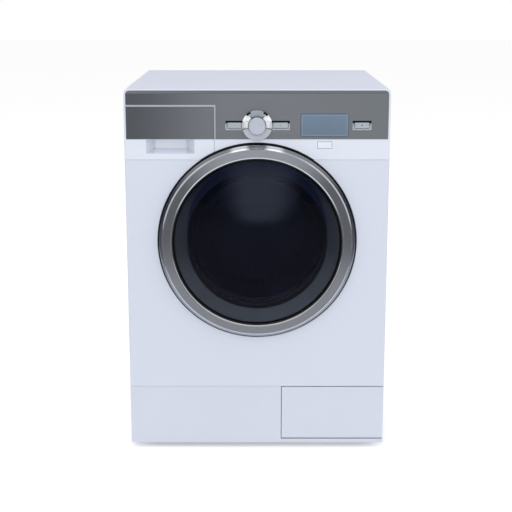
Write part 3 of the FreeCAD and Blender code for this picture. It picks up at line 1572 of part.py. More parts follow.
def kick_plate():
    """Plinth moulding with the open bay behind the filter flap."""
    depth = front_return
    wall = plinth_wall
    block = slab(-half_width, half_width, 0, depth, floor_clear, plinth_top)
    block = block.makeFillet(edge_round, edges_along(block, Vector(0, 0, 1), lambda m: m.y < back(1)))
    hollow = slab(-half_width + wall, half_width - wall, wall, depth + wall, floor_clear + wall,
                  plinth_top - wall)
    bay_left = flap_left - flap_gap
    shell = block.cut(hollow).cut(slab(bay_left, overall_width, -wall, depth + wall,
                                       flap_bottom - flap_swing_room, overall_height))
    jamb = slab(bay_left - wall, bay_left, wall, depth, floor_clear, plinth_top)
    back_wall = slab(bay_left - wall, half_width - wall, depth - wall, depth, floor_clear, plinth_top)
    back_wall = back_wall.cut(rod_y(pump_x, pump_height, filter_cap_radius + 2 * flap_gap, 0, 2 * depth))
    eye = rod_x(back(flap_hinge_depth), flap_hinge_height, flap_barrel_radius, half_width - 2 * wall,
                half_width - wall)
    cheek = slab(half_width - 2 * wall, half_width - wall, flap_hinge_depth, depth,
                 flap_hinge_height - flap_barrel_radius, flap_hinge_height + flap_barrel_radius)
    pins = rod_x(back(flap_hinge_depth), flap_hinge_height, flap_pin_radius + run_fit, bay_left - wall,
                 half_width)
    return fuse(shell, jamb, back_wall, eye, cheek).cut(pins)


def filter_flap():
    """Hinged flap in front of the pump filter, with barrel and pins along its foot."""
    wall = plinth_wall
    right = half_width
    shell = slab(flap_left, right, 0, flap_return, flap_bottom, flap_top)
    shell = shell.makeFillet(edge_round, edges_along(shell, Vector(0, 0, 1),
                                                     lambda m: m.x > right - 1 and m.y < back(1)))
    hollow = slab(flap_left + wall, right - wall, wall, flap_return + wall, 0, flap_top - wall)
    cheek_room = slab(right - 2 * wall - flap_gap, right + wall, wall, flap_return + wall, 0,
                      flap_hinge_height + 4 * flap_barrel_radius)
    barrel_right = right - 2 * wall - flap_gap
    barrel = rod_x(back(flap_hinge_depth), flap_hinge_height, flap_barrel_radius, flap_left, barrel_right)
    web = slab(flap_left, barrel_right, wall / 2, flap_hinge_depth, flap_hinge_height - flap_pin_radius,
               flap_hinge_height + flap_pin_radius)
    pins = rod_x(back(flap_hinge_depth), flap_hinge_height, flap_pin_radius, flap_left - flap_gap - wall / 2,
                 right - wall - seam_gap)
    foot_room = slab(flap_left - wall, right + wall, wall, flap_return + wall, 0,
                     flap_hinge_height - flap_pin_radius)
    shell = shell.cut(hollow).cut(cheek_room).cut(foot_room)
    return fuse(shell, barrel, web, pins)


def main():
    os.makedirs("parts", exist_ok=True)
    pieces = {
        "side_panel_right": side_panel(),
        "side_panel_left": side_panel_left(),
        "rear_panel": rear_panel(),
        "rear_cover": rear_cover(),
        "rear_cover_screws": rear_cover_screws(),
        "base_tray": base_tray(),
        "feet": feet(),
        "worktop": worktop(),
        "front_panel": front_panel(),
        "door_surround": door_surround(),
        "control_panel": control_panel(),
        "fascia_plate": fascia_plate(),
        "control_bezels": control_bezels(),
        "program_knob": program_knob(),
        "left_button": press_button(left_button_span),
        "right_button": press_button(right_button_span),
        "start_button": press_button(start_button_span),
        "display_window": display_window(),
        "control_board": control_board(),
        "drawer_front": drawer_front(),
        "drawer_fascia": drawer_fascia(),
        "drawer_tray": drawer_tray(),
        "dispenser_housing": dispenser_housing(),
        "inlet_valve": inlet_valve(),
        "inlet_hose": inlet_hose(),
        "fill_bellows": fill_bellows(),
        "door_ring": door_ring(),
        "door_frame": door_frame(),
        "door_window": door_window(),
        "door_bowl": door_bowl(),
        "door_back_ring": door_back_ring(),
        "hinge_arm": hinge_arm(),
        "hinge_pin": hinge_pin(),
        "latch_hook": latch_hook(),
        "door_lock": door_lock(),
        "gasket": gasket(),
        "tub_front": tub_front(),
        "tub_rear": tub_rear(),
        "counterweights": counterweights(),
        "heater": heater(),
        "motor": motor(),
        "motor_rotor": motor_rotor(),
        "drive_belt": drive_belt(),
        "shaft_bearings": shaft_bearings(),
        "suspension_springs": suspension_springs(),
        "damper_cylinders": damper_cylinders(),
        "damper_rods": damper_rods(),
        "drum_front_ring": drum_front_ring(),
        "drum_wrapper": drum_wrapper(),
        "drum_back": drum_back(),
        "drum_lifters": drum_lifters(),
        "drum_spider": drum_spider(),
        "drum_pulley": drum_pulley(),
        "sump_hose": sump_hose(),
        "drain_pump": drain_pump(),
        "pump_filter": pump_filter(),
        "drain_hose": drain_hose(),
        "cord_gland": cord_gland(),
        "kick_plate": kick_plate(),
        "filter_flap": filter_flap(),
    }
    for name, shape in pieces.items():
        shape.exportStep("parts/%s.step" % name)
        print(name, len(shape.Solids), shape.isValid(), round(shape.Volume))


main()
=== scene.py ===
import json
import math

import bmesh
import bpy
from bpy.props import FloatProperty, FloatVectorProperty, IntProperty, PointerProperty
from mathutils import Matrix, Vector


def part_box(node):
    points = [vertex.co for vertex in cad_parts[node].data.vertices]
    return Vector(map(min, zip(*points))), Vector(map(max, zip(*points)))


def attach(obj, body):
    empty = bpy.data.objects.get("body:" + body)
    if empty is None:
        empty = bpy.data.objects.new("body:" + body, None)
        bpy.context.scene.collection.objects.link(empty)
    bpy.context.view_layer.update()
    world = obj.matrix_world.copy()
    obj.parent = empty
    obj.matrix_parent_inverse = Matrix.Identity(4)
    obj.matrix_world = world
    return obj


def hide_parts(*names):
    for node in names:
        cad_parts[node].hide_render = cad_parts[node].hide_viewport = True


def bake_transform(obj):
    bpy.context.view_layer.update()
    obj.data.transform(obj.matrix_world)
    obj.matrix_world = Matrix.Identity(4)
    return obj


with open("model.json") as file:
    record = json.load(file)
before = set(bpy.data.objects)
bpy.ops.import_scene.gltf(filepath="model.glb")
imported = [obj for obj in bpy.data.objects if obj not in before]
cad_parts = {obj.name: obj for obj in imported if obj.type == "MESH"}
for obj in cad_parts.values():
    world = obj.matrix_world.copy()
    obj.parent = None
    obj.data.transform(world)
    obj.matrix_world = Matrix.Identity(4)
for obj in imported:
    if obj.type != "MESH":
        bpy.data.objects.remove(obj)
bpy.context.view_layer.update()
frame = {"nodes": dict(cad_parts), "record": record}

bl_info = {
    "name": "Front loading washing machine",
    "version": (1, 0, 0),
    "blender": (4, 5, 0),
    "location": "View3D > Sidebar > Washer",
    "description": "Dresses the washing machine's solids and sets a plain studio round it",
    "category": "Object",
}

front_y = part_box("front_panel")[0].y
knob_low, knob_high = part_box("program_knob")
knob_centre = (knob_low + knob_high) / 2
ring_low, ring_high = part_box("door_ring")
ring_radius = (ring_high.x - ring_low.x) / 2
drum_height = (ring_high.z + ring_low.z) / 2
veil_side = 0.02
white_light = (1.0, 1.0, 1.0)


def behind(x, depth, z):
    """Point at a distance behind the front panel's face."""
    return Vector((x, front_y + depth, z))


def colour_property(label, note, value):
    return FloatVectorProperty(name=label, description=note, default=value, subtype="COLOR", size=3,
                               min=0.0, max=1.0)


def length_property(label, note, value):
    return FloatProperty(name=label, description=note, default=value, unit="LENGTH", precision=5)


def angle_property(label, note, value):
    return FloatProperty(name=label, description=note, default=value, subtype="ANGLE")


def count_property(label, note, value):
    return IntProperty(name=label, description=note, default=value)


def power_property(label, note, value):
    return FloatProperty(name=label, description=note, default=value, unit="POWER")


class WasherColours(bpy.types.PropertyGroup):
    """Colours of the finishes, in linear light."""

    enamel: colour_property("Enamel", "Stove enamel of the cabinet", (0.623, 0.665, 0.768))
    worktop: colour_property("Worktop", "Top board", (0.752, 0.786, 0.925))
    moulding: colour_property("White moulding", "Plinth and other white mouldings", (0.61, 0.645, 0.745))
    panel: colour_property("Panel moulding", "Control panel and drawer front", (0.685, 0.725, 0.82))
    # Grip back: paler than the panel, painted light in the grip's shaded back.
    grip: colour_property("Grip back", "Back of the drawer grip", (0.79, 0.83, 0.885))
    # The fascia tones paint the highlight and shade of its reflection: lightest by the dial, darker towards the ends.
    fascia_left_shade: colour_property("Fascia left", "Brushed fascia at its left end", (0.100, 0.109, 0.122))
    fascia_middle_highlight: colour_property("Fascia middle", "Brushed fascia by the dial", (0.221, 0.235, 0.258))
    fascia_right_shade: colour_property("Fascia right", "Brushed fascia at its right end", (0.209, 0.227, 0.240))
    trim: colour_property("Bright trim", "Raised trim round the drawer", (0.52, 0.54, 0.58))
    # Top bevel: a darker colour of its own, painted shade that tones down the light the folded edge catches.
    bevel: colour_property("Top bevel", "Folded top edge of the fascia", (0.15, 0.16, 0.175))
    bezel: colour_property("Bezel", "Dial bezel and button channels", (0.42, 0.45, 0.49))
    # Button channel: paler than the bezel, painted light in the shaded channels.
    channel: colour_property("Button channel", "Lacquer of the button channels", (0.74, 0.77, 0.81))
    # Dial gate: very pale, a painted highlight on the sloped sectors beside the knob.
    gate: colour_property("Dial gate", "Bright sectors beside the knob", (0.93, 0.95, 0.98))
    button: colour_property("Button", "Push buttons", (0.455, 0.505, 0.56))
    knob: colour_property("Knob", "Satin programme knob", (0.56, 0.595, 0.68))
    display: colour_property("Display", "Unlit display window", (0.125, 0.18, 0.25))
    ring_brushed: colour_property("Ring face", "Brushed face of the door ring", (0.32, 0.34, 0.37))
    ring_polished: colour_property("Ring edges", "Polished edges of the door ring", (0.72, 0.74, 0.78))
    # Window tints are painted: the rim's paler tint is painted light on the door frame seen through it, the middle's
    # darker tint is painted shade over the drum.
    glass_band_painted_light: colour_property("Window rim", "Smoke tint near the rim", (0.54, 0.57, 0.64))
    glass_middle_painted_shade: colour_property("Window middle", "Smoke tint at the middle", (0.185, 0.228, 0.40))
    rubber: colour_property("Rubber", "Grey door rubber", (0.17, 0.175, 0.18))
    black: colour_property("Black moulding", "Door surround and small black mouldings", (0.012, 0.012, 0.014))
    tub: colour_property("Tub", "Filled plastic of the tub", (0.36, 0.37, 0.38))
    steel: colour_property("Drum steel", "Stainless steel of the drum", (0.82, 0.82, 0.83))


class WasherSizes(bpy.types.PropertyGroup):
    """Sizes of the pieces that the scene adds."""

    mark_height: length_property("Mark height", "How far a printed mark stands off its surface", 0.00006)
    frame_line: length_property("Frame line", "Width of the blank frame under the display", 0.0009)
    slit_angle: angle_property("Slit angle", "Place of the dial's slits above level", math.radians(54))
    slit_sweep: angle_property("Slit sweep", "Length of the dial's slits round the dial", math.radians(19))
    coil_radius: length_property("Coil radius", "Middle radius of the suspension springs", 0.0095)
    coil_wire: length_property("Coil wire", "Radius of the spring wire", 0.0018)
    coil_turns: count_property("Coil turns", "Turns of each suspension spring", 14)
    hose_radius: length_property("Sump hose radius", "Outer radius of the sump hose", 0.0195)
    hose_bend: length_property("Sump hose bend", "Middle radius of the sump hose's bend", 0.046)
    wrapper_columns: count_property("Wrapper columns", "Holes in a row round the drum", 80)
    wrapper_rows: count_property("Wrapper rows", "Rows of holes along the drum", 18)
    back_columns: count_property("Back columns", "Holes in a ring of the drum's back", 48)
    back_rows: count_property("Back rows", "Rings of holes in the drum's back", 8)
    hole_radius: length_property("Hole radius", "Radius of the drum's punched holes", 0.0024)
    hole_dimple: length_property("Hole dimple", "How far the sheet is pressed out at a hole", 0.0007)
    round_steps: count_property("Round steps", "Steps round the door rubber", 96)
    smooth_levels: count_property("Smoothing", "Subdivision levels of the door rubber", 2)


class WasherStudio(bpy.types.PropertyGroup):
    """Camera, lights and floor."""

    camera_place: FloatVectorProperty(name="Camera place", description="Where the camera stands",
                                      default=(-0.0025, front_y - 2.4, 1.0726), subtype="TRANSLATION")
    camera_pitch: angle_property("Camera pitch", "How far the camera looks down", 0.2079)
    lens: FloatProperty(name="Lens", description="Focal length on a 36 mm sensor", default=75.9)
    frame_shift: FloatProperty(name="Frame shift", description="Upright shift of the camera's frame",
                               default=-0.08)
    key_power: power_property("Key power", "Large light ahead of the machine", 34.0)
    fill_power: power_property("Fill power", "Side light", 18.0)
    top_power: power_property("Top power", "Light overhead", 30.0)
    room_light: FloatProperty(name="Room light", description="Strength of the room's own light", default=0.72)
    floor_glow: FloatProperty(name="Floor glow", description="Light given by the white floor", default=0.32)
    floor_size: length_property("Floor size", "Side of the square floor", 40.0)


def colours():
    return bpy.context.scene.washer_colours


def sizes():
    return bpy.context.scene.washer_sizes


def studio():
    return bpy.context.scene.washer_studio


# Shader building

noise_span = (0.3, 0.7)


def put(value, socket):
    """Sets a plain value on a socket, or links another node's output to it."""
    if isinstance(value, Value):
        value.tree.links.new(value.socket, socket)
    elif isinstance(value, (int, float)):
        socket.default_value = value
    elif len(value) == 3 and socket.type == "RGBA":
        socket.default_value = (*value, 1.0)
    else:
        socket.default_value = value


def fill(node, *values):
    """Puts values on a node's inputs in their order, and gives its first output."""
    for value, socket in zip(values, node.inputs):
        put(value, socket)
    return Value(node.outputs[0])


def dress(node, **values):
    """Puts values on a node's inputs by name, with an underscore for each space."""
    for name, value in values.items():
        put(value, node.inputs[name.replace("_", " ")])


class Value:
    """Output of a shader node, from which sums, products, masks and colours are made."""

    def __init__(self, socket):
        self.socket = socket
        self.tree = socket.id_data

    def maths(self, operation, *others):
        """Output of a math node."""
        made = self.tree.nodes.new("ShaderNodeMath")
        made.operation = operation
        return fill(made, self, *others)

    def __add__(self, other):
        return self.maths("ADD", other)

    def __sub__(self, other):
        return self.maths("SUBTRACT", other)

    def __rsub__(self, other):
        return self.maths("MULTIPLY_ADD", -1.0, other)

    def __mul__(self, other):
        return self.maths("MULTIPLY", other)

    def __truediv__(self, other):
        return self.maths("DIVIDE", other)

    def __abs__(self):
        return self.maths("ABSOLUTE")

    def ramp(self, low, high, out_low=0.0, out_high=1.0):
        """Smooth change from one value to another as this one passes from low to high."""
        made = self.tree.nodes.new("ShaderNodeMapRange")
        made.interpolation_type = "SMOOTHSTEP"
        return fill(made, self, low, high, out_low, out_high)

    def fade(self, low, high):
        """Mask that falls from full to nothing as this value passes from low to high."""
        return self.ramp(low, high, 1.0, 0.0)

    def band(self, start, end):
        """Mask of a band, with the span over which it starts and the one over which it ends."""
        return self.ramp(*start) * self.fade(*end)

    def drift(self, low=0.0, high=1.0):
        """Value that drifts between two as this noise does."""
        return self.ramp(*noise_span, low, high)

    def tint(self, first, second):
        """Colour between two colours, with this value as the mask."""
        made = self.tree.nodes.new("ShaderNodeMix")
        made.data_type = "RGBA"
        for place, value in ((0, self), (6, first), (7, second)):
            put(value, made.inputs[place])
        return Value(made.outputs[2])

    def split(self):
        """The three values of this vector."""
        made = self.tree.nodes.new("ShaderNodeSeparateXYZ")
        fill(made, self)
        return [Value(output) for output in made.outputs]

    def vector_maths(self, operation, other):
        """Output of a vector math node."""
        made = self.tree.nodes.new("ShaderNodeVectorMath")
        made.operation = operation
        return fill(made, self, other)

    def noise(self, scale, detail=2.0, rough=0.5):
        """Noise at this vector."""
        made = self.tree.nodes.new("ShaderNodeTexNoise")
        dress(made, Vector=self, Scale=scale, Detail=detail, Roughness=rough)
        return Value(made.outputs[0])

    def group(self, label, **values):
        """Outputs of a shared group at this vector, with its own values."""
        made = self.tree.nodes.new("ShaderNodeGroup")
        made.node_tree = bpy.data.node_groups[label]
        dress(made, Vector=self, **values)
        return {output.name: Value(output) for output in made.outputs}


def join(*parts):
    """Vector from three values, of which the first is a node's."""
    return fill(parts[0].tree.nodes.new("ShaderNodeCombineXYZ"), *parts)


def from_axis(side, rise):
    """Distance of a point from an axis."""
    return (side * side + rise * rise).maths("SQRT")


def scaled(colour, factor):
    """Colour made lighter or darker."""
    return tuple(Vector(colour) * factor)


def choose_shader(mask, first, second):
    """First shader where the mask is nothing, second where it is full."""
    return fill(mask.tree.nodes.new("ShaderNodeMixShader"), mask, first, second)


def new_group(label, inputs, outputs):
    """Shader group that takes a vector and named values: what it is given, and its end."""
    group = bpy.data.node_groups.new(label, "ShaderNodeTree")
    group.interface.new_socket(name="Vector", in_out="INPUT", socket_type="NodeSocketVector")
    for way, names in (("INPUT", inputs), ("OUTPUT", outputs)):
        for name in names:
            group.interface.new_socket(name=name, in_out=way, socket_type="NodeSocketFloat")
    given = {output.name: Value(output) for output in group.nodes.new("NodeGroupInput").outputs}
    return given, group.nodes.new("NodeGroupOutput")


def skin_group():
    """Slow drift of tone, patches of gloss and the fine relief of a painted or moulded skin."""
    given, end = new_group("Washer skin", ("Grain", "Patch"), ("Tone", "Gloss", "Relief"))
    vector = given["Vector"]
    patch = given["Patch"]
    dress(end, Tone=vector.noise(patch, 3.0), Gloss=vector.noise(patch * 9.0, 4.0, 0.6),
          Relief=vector.noise(given["Grain"]))


def rub_group():
    """Fine hairline scratches, stronger in handled patches."""
    lean = 0.45
    given, end = new_group("Washer rub marks", (), ("Mask",))
    x, y, z = given["Vector"].split()
    stretched = join((x + z * lean) * 0.25, y, (z - x * lean) * 14.0)
    lines = stretched.noise(60.0, 3.0, 0.7).ramp(0.60, 0.74)
    dress(end, Mask=lines * given["Vector"].noise(7.0).ramp(0.45, 0.65))


def axis_group():
    """Radius and angle about the drum's axis."""
    given, end = new_group("Washer drum axis", (), ("Radius", "Angle"))
    x, _, z = given["Vector"].split()
    rise = z - drum_height
    dress(end, Radius=from_axis(x, rise), Angle=rise.maths("ARCTAN2", x))


def start_material(label):
    """New material with its shader and object coordinates."""
    material = bpy.data.materials.new(label)
    material.use_nodes = True
    nodes = material.node_tree.nodes
    return material, nodes["Principled BSDF"], Value(nodes.new("ShaderNodeTexCoord").outputs["Object"])


def flat_middle(place, reach):
    """Faces' own normals near the drum's axis, where the smoothed normals of a turned cap pinch."""
    shape = place.tree.nodes.new("ShaderNodeNewGeometry").outputs
    mask = place.group("Washer drum axis")["Radius"].fade(reach * 0.97, reach)
    made = place.tree.nodes.new("ShaderNodeMix")
    made.data_type = "VECTOR"
    for socket, value in ((0, mask), (4, Value(shape["Normal"])), (5, Value(shape["True Normal"]))):
        put(value, made.inputs[socket])
    return Value(made.outputs[1])


def bump(shader, height, strength, distance=0.0004, normal=None):
    """Small relief of a shader's surface, on its own normal or on another."""
    made = height.tree.nodes.new("ShaderNodeBump")
    dress(made, Strength=strength, Distance=distance, Height=height)
    if normal:
        dress(made, Normal=normal)
    dress(shader, Normal=Value(made.outputs[0]))


def skin_material(label, colour, rough, spread, grain, patch, relief, metallic=0.0, rub=0.0, **plain):
    """Painted, moulded or cast finish with drifting tone, patchy gloss, relief and rub marks."""
    material, shader, place = start_material(label)
    skin = place.group("Washer skin", Grain=grain, Patch=patch)
    base = skin["Tone"].drift().tint(scaled(colour, 1 - spread), colour)
    gloss = skin["Gloss"].drift(*rough)
    if rub:
        marks = place.group("Washer rub marks")["Mask"]
        gloss = marks * rub + gloss
        wear_and_shade = tuple(min(1.0, channel * 1.25 + 0.02) for channel in colour)
        base = (marks * 0.35).tint(base, wear_and_shade)
    dress(shader, Base_Color=base, Roughness=gloss, Metallic=metallic, **plain)
    bump(shader, skin["Relief"], relief)
    return material


def panel_material(label):
    """White moulding of the control panel and drawer, with painted light that makes the grip's back paler and painted
    shade that makes its cheeks and top greyer.
    """
    grip_middle = -0.19475
    grip_side = (0.0352, 0.0358)
    grip_top = (0.7345, 0.7365)
    tones = colours()
    material, shader, place = start_material(label)
    skin = place.group("Washer skin", Grain=1500.0, Patch=3.0)
    x, y, z = place.split()
    base = skin["Tone"].drift().tint(scaled(tones.panel, 0.985), tones.panel)
    # Mask of the grip's back, which gets painted light.
    back = y.ramp(front_y + 0.0200, front_y + 0.0215)
    inside = y.ramp(front_y + 0.0006, front_y + 0.0012)
    cheek = abs(x - grip_middle).ramp(*grip_side)
    # Painted shade on the grip's cheeks and along its top.
    shade = inside * cheek.maths("MAXIMUM", z.ramp(*grip_top))
    base = shade.tint(back.tint(base, tones.grip), scaled(tones.panel, 0.86))
    dress(shader, Base_Color=base, Roughness=skin["Gloss"].drift(0.32, 0.38))
    bump(shader, skin["Relief"], 0.03)
    return material


def fascia_material(label):
    """Straight strip with brushing lines, a painted highlight by the dial that falls to painted shade at its ends,
    polished trim, and a top bevel in its own colour of painted shade.
    """
    brushing = (5.0, 1800.0, 1800.0)
    bevel_foot = (0.8412, 0.8420)
    trim_top = (0.8180, 0.8190)
    tones = colours()
    material, shader, place = start_material(label)
    lines = place.vector_maths("MULTIPLY", brushing).noise(1.0, 3.0, 0.6)
    x, y, z = place.split()
    # Painted highlight and shade of the strip's reflection, lightest by the dial.
    base = x.ramp(-0.30, -0.05).tint(tones.fascia_left_shade, tones.fascia_middle_highlight)
    base = x.ramp(0.06, 0.27).tint(base, tones.fascia_right_shade)
    shade = lines.ramp(0.25, 0.75)
    base = (shade * 0.015).tint(base, (0.9, 0.9, 0.92))
    trim = y.fade(front_y - 0.00145, front_y - 0.00130) * z.fade(*trim_top)
    # The top bevel takes its colour of painted shade.
    base = trim.tint(z.ramp(*bevel_foot).tint(base, tones.bevel), tones.trim)
    dress(shader, Base_Color=base, Roughness=trim * -0.12 + (shade * 0.08 + 0.38), Metallic=0.35)
    bump(shader, lines, 0.02, 0.0002)
    return material


def ring_material(label):
    """Door ring with concentric brushing lines on its face between polished edges, and painted reflections: the face
    lighter at the top and bottom and darker at the sides, the bevel darker beyond its outer edge, and pale glints on
    the bevel above the middle and on the lip below.
    """
    seal_end = (0.1940, 0.1947)
    foot_end = (0.1955, 0.1962)
    face_start = (0.1966, 0.1974)
    face_end = (0.2140, 0.2149)
    bevel_end = (0.2172, 0.2180)
    polish = 0.09
    tones = colours()
    plain = tones.ring_brushed
    material, shader, place = start_material(label)
    axis = place.group("Washer drum axis")
    radius = axis["Radius"]
    rise = axis["Angle"].maths("SINE")
    lines = join(radius * 5200.0, axis["Angle"] * 1.6, 0.0).noise(1.0, 3.0, 0.6)
    # Painted reflection: the face is lighter at the top and bottom and darker at the sides.
    brushed_painted_reflection = rise.ramp(-0.55, 0.12).tint(scaled(plain, 0.88), scaled(plain, 0.38))
    brushed_painted_reflection = rise.ramp(0.58, 1.0).tint(brushed_painted_reflection, scaled(plain, 1.13))
    brushed_painted_reflection = (lines.drift() * 0.22).tint(brushed_painted_reflection, scaled(plain, 0.5))
    # Painted shade: the polished bevel is darker beyond its outer edge.
    edge = radius.ramp(*bevel_end).tint(tones.ring_polished, scaled(tones.ring_polished, 0.55))
    face = radius.band(face_start, face_end)
    # Painted glints: pale, less metallic patches on the bevel above the middle and on the lip below.
    upper_bevel_glint = rise.band((0.10, 0.30), (0.80, 0.93)) * radius.band(face_end, bevel_end)
    foot = rise.fade(-0.30, -0.12) * radius.fade(*foot_end)
    painted_glint = upper_bevel_glint.maths("MAXIMUM", foot)
    seal = radius.fade(*seal_end)
    base = painted_glint.tint(face.tint(edge, brushed_painted_reflection), (0.60, 0.62, 0.65))
    gloss = face * (lines.drift(0.30, 0.42) - polish) + polish
    metal = (face * -0.62 + 0.97) * (painted_glint * -0.75 + 1.0) * (1.0 - seal)
    dress(shader, Base_Color=seal.tint(base, tones.black), Roughness=seal * 0.4 + gloss, Metallic=metal)
    bump(shader, lines * face, 0.05, 0.0002)
    return material


def window_material(label):
    """Smoke tinted window with faint smears, and a painted tint: a paler band near the rim, lifted above the axis and
    widest and lightest below, is painted light on the door frame seen through it; the darker middle is painted shade
    over the drum.
    """
    # Lift of the painted band's centre above the drum's axis.
    band_lift = (0.0, 0.0, 0.031)
    band_start = (0.1550, 0.1610)
    dark_edge = (0.1870, 0.1885)
    tones = colours()
    material, shader, place = start_material(label)
    axis = place.group("Washer drum axis")
    rise = axis["Angle"].maths("SINE")
    radius = place.vector_maths("SUBTRACT", band_lift).group("Washer drum axis")["Radius"]
    skin = place.group("Washer skin", Grain=300.0, Patch=4.0)
    # Painted light: the paler band near the rim, widest and lightest below; the darker middle is painted shade.
    rim = radius.ramp(*band_start) * rise.ramp(0.40, 0.90, 1.0, 0.25)
    band = rise.ramp(-0.6, 0.05).tint(scaled(tones.glass_band_painted_light, 1.15), scaled(tones.glass_band_painted_light, 0.82))
    base = axis["Radius"].ramp(*dark_edge).tint(rim.tint(tones.glass_middle_painted_shade, band), (0.004, 0.004, 0.005))
    dress(shader, Base_Color=base, Roughness=skin["Gloss"].ramp(0.3, 0.8, 0.015, 0.05),
          Transmission_Weight=1.0, IOR=1.45, Specular_IOR_Level=0.3)
    bump(shader, skin["Tone"], 0.01, 0.0002, flat_middle(place, 0.0214))
    return material


def bowl_material(label):
    """Clear pressed glass with faint ripples."""
    material, shader, place = start_material(label)
    skin = place.group("Washer skin", Grain=260.0, Patch=12.0)
    dress(shader, Base_Color=skin["Tone"].tint((0.90, 0.93, 0.93), (0.96, 0.98, 0.98)),
          Roughness=skin["Gloss"].ramp(0.3, 0.8, 0.05, 0.12),
          Transmission_Weight=1.0, IOR=1.47, Specular_IOR_Level=0.15)
    bump(shader, skin["Tone"], 0.05, 0.001, flat_middle(place, 0.080))
    return material


def drum_material(label):
    """Stainless sheet, a little uneven in tone and gloss."""
    steel = colours().steel
    material, shader, place = start_material(label)
    skin = place.group("Washer skin", Grain=700.0, Patch=8.0)
    dress(shader, Base_Color=skin["Tone"].drift().tint(scaled(steel, 0.86), steel),
          Roughness=skin["Gloss"].drift(0.36, 0.44), Metallic=0.15)
    bump(shader, skin["Relief"], 0.01, 0.0012)
    return material


def display_material(label):
    """Unlit liquid crystal window: plain blue grey with a dark edge and a thin pale line inside it."""
    plain = colours().display
    low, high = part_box("display_window")
    middle = (low + high) / 2
    half = (high - low) / 2
    material, shader, place = start_material(label)
    skin = place.group("Washer skin", Grain=500.0, Patch=9.0)
    x, _, z = place.split()
    inset = (half.x - abs(x - middle.x)).maths("MINIMUM", half.z - abs(z - middle.z))
    edge = inset.fade(0.0010, 0.0022)
    line = inset.band((0.0026, 0.0032), (0.0044, 0.0050))
    base = z.ramp(low.z, high.z).tint(scaled(plain, 0.92), scaled(plain, 1.04))
    base = (skin["Tone"] * 0.08).tint(base, (0.5, 0.55, 0.6))
    base = (line * 0.14).tint(base, (0.5, 0.55, 0.62))
    base = (edge * 0.55).tint(base, (0.05, 0.075, 0.11))
    dress(shader, Base_Color=base, Roughness=skin["Gloss"].drift(0.16, 0.26), Specular_IOR_Level=0.3)
    bump(shader, skin["Relief"], 0.02, 0.0002)
    return material


def ray_mask(angle, degrees, half):
    """Mask of a thin radial line at an angle."""
    return abs(angle - math.radians(degrees)).fade(math.radians(half * 0.6), math.radians(half))


def bezel_material(label):
    """Silver lacquer on the bezels, with painted light on the channels and below the knob, a painted highlight on the
    dial's sloped gates that darkens to painted shade at their lower ends, and painted shade in a black ring round the
    knob and in dark lines along the gates' edges.
    """
    gate_foot = (math.radians(-18), math.radians(-17))
    gate_top = (math.radians(50), math.radians(51))
    gate_start = (0.0196, 0.0200)
    gate_end = (0.0345, 0.0350)
    dial_end = (0.0342, 0.0346)
    shadow_end = (0.0200, 0.0207)
    tones = colours()
    material, shader, place = start_material(label)
    skin = place.group("Washer skin", Grain=1400.0, Patch=20.0)
    x, y, z = place.split()
    rise = z - knob_centre.z
    radius = from_axis(x, rise)
    angle = rise.maths("ARCTAN2", abs(x))
    band = radius.band(gate_start, gate_end)
    gate = angle.band(gate_foot, gate_top) * band * y.fade(front_y - 0.0009, front_y - 0.0003)
    silver_and_painted_light = skin["Tone"].tint(scaled(tones.bezel, 0.9), tones.bezel)
    # Painted light: paler below the knob's middle, and outside the dial the channels' paler colour.
    silver_and_painted_light = rise.fade(-0.010, -0.004).tint(silver_and_painted_light, scaled(tones.bezel, 1.35))
    silver_and_painted_light = radius.ramp(*dial_end).tint(silver_and_painted_light, tones.channel)
    # Painted highlight on the gates, darkening to painted shade towards their lower ends.
    wear_and_shade = angle.fade(math.radians(12), math.radians(22)) * radius.ramp(0.0240, 0.0320, 0.35, 1.0)
    white = wear_and_shade.tint(tones.gate, scaled(tones.channel, 0.72))
    # Painted shadow: a black ring round the knob's foot.
    dial = radius.fade(*shadow_end).tint(gate.tint(silver_and_painted_light, white), tones.black)
    # Painted shade: a thin dark line along each gate's lower edge and two short dark ticks in each gate.
    lines = ray_mask(angle, -15.5, 2.4) * band
    for degrees, half, reach, strength in ((54, 4.0, 0.0243, 1.0), (22, 2.6, 0.0270, 0.6)):
        line = ray_mask(angle, degrees, half) * radius.ramp(reach, reach + 0.001, strength, 0.0)
        lines = lines.maths("MAXIMUM", line)
    dress(shader, Base_Color=(lines * 0.85).tint(dial, (0.07, 0.075, 0.085)),
          Roughness=skin["Gloss"].drift(0.28, 0.40), Metallic=gate * -0.2 + 0.25)
    bump(shader, skin["Relief"], 0.04, 0.0002)
    return material


# Mesh building

def finish_piece(bm, label, material, smooth=40.0):
    """Closes a bmesh into a named piece at the origin, with its material."""
    bmesh.ops.remove_doubles(bm, verts=bm.verts, dist=1e-6)
    bmesh.ops.recalc_face_normals(bm, faces=bm.faces)
    mesh = bpy.data.meshes.new(label)
    bm.to_mesh(mesh)
    bm.free()
    mesh.shade_smooth()
    mesh.set_sharp_from_angle(angle=math.radians(smooth))
    piece = bpy.data.objects.new(label, mesh)
    bpy.context.scene.collection.objects.link(piece)
    mesh.materials.append(bpy.data.materials[material])
    return piece


def soften(piece, levels):
    """Rounds a rubber piece by subdivision."""
    made = piece.modifiers.new("Rounding", "SUBSURF")
    made.levels = levels
    made.render_levels = levels


def spin_loop(bm, points, centre, axis, steps, angle=2 * math.pi, step_move=(0, 0, 0)):
    """Turns a closed loop of points about an axis, or winds it along one."""
    verts = [bm.verts.new(point) for point in points]
    edges = [bm.edges.new((verts[k - 1], verts[k])) for k in range(len(verts))]
    whole = abs(angle - 2 * math.pi) < 1e-6 and not any(step_move)
    bmesh.ops.spin(bm, geom=verts + edges, cent=centre, axis=axis, dvec=step_move, angle=angle,
                   steps=steps, use_merge=whole, use_duplicate=False)


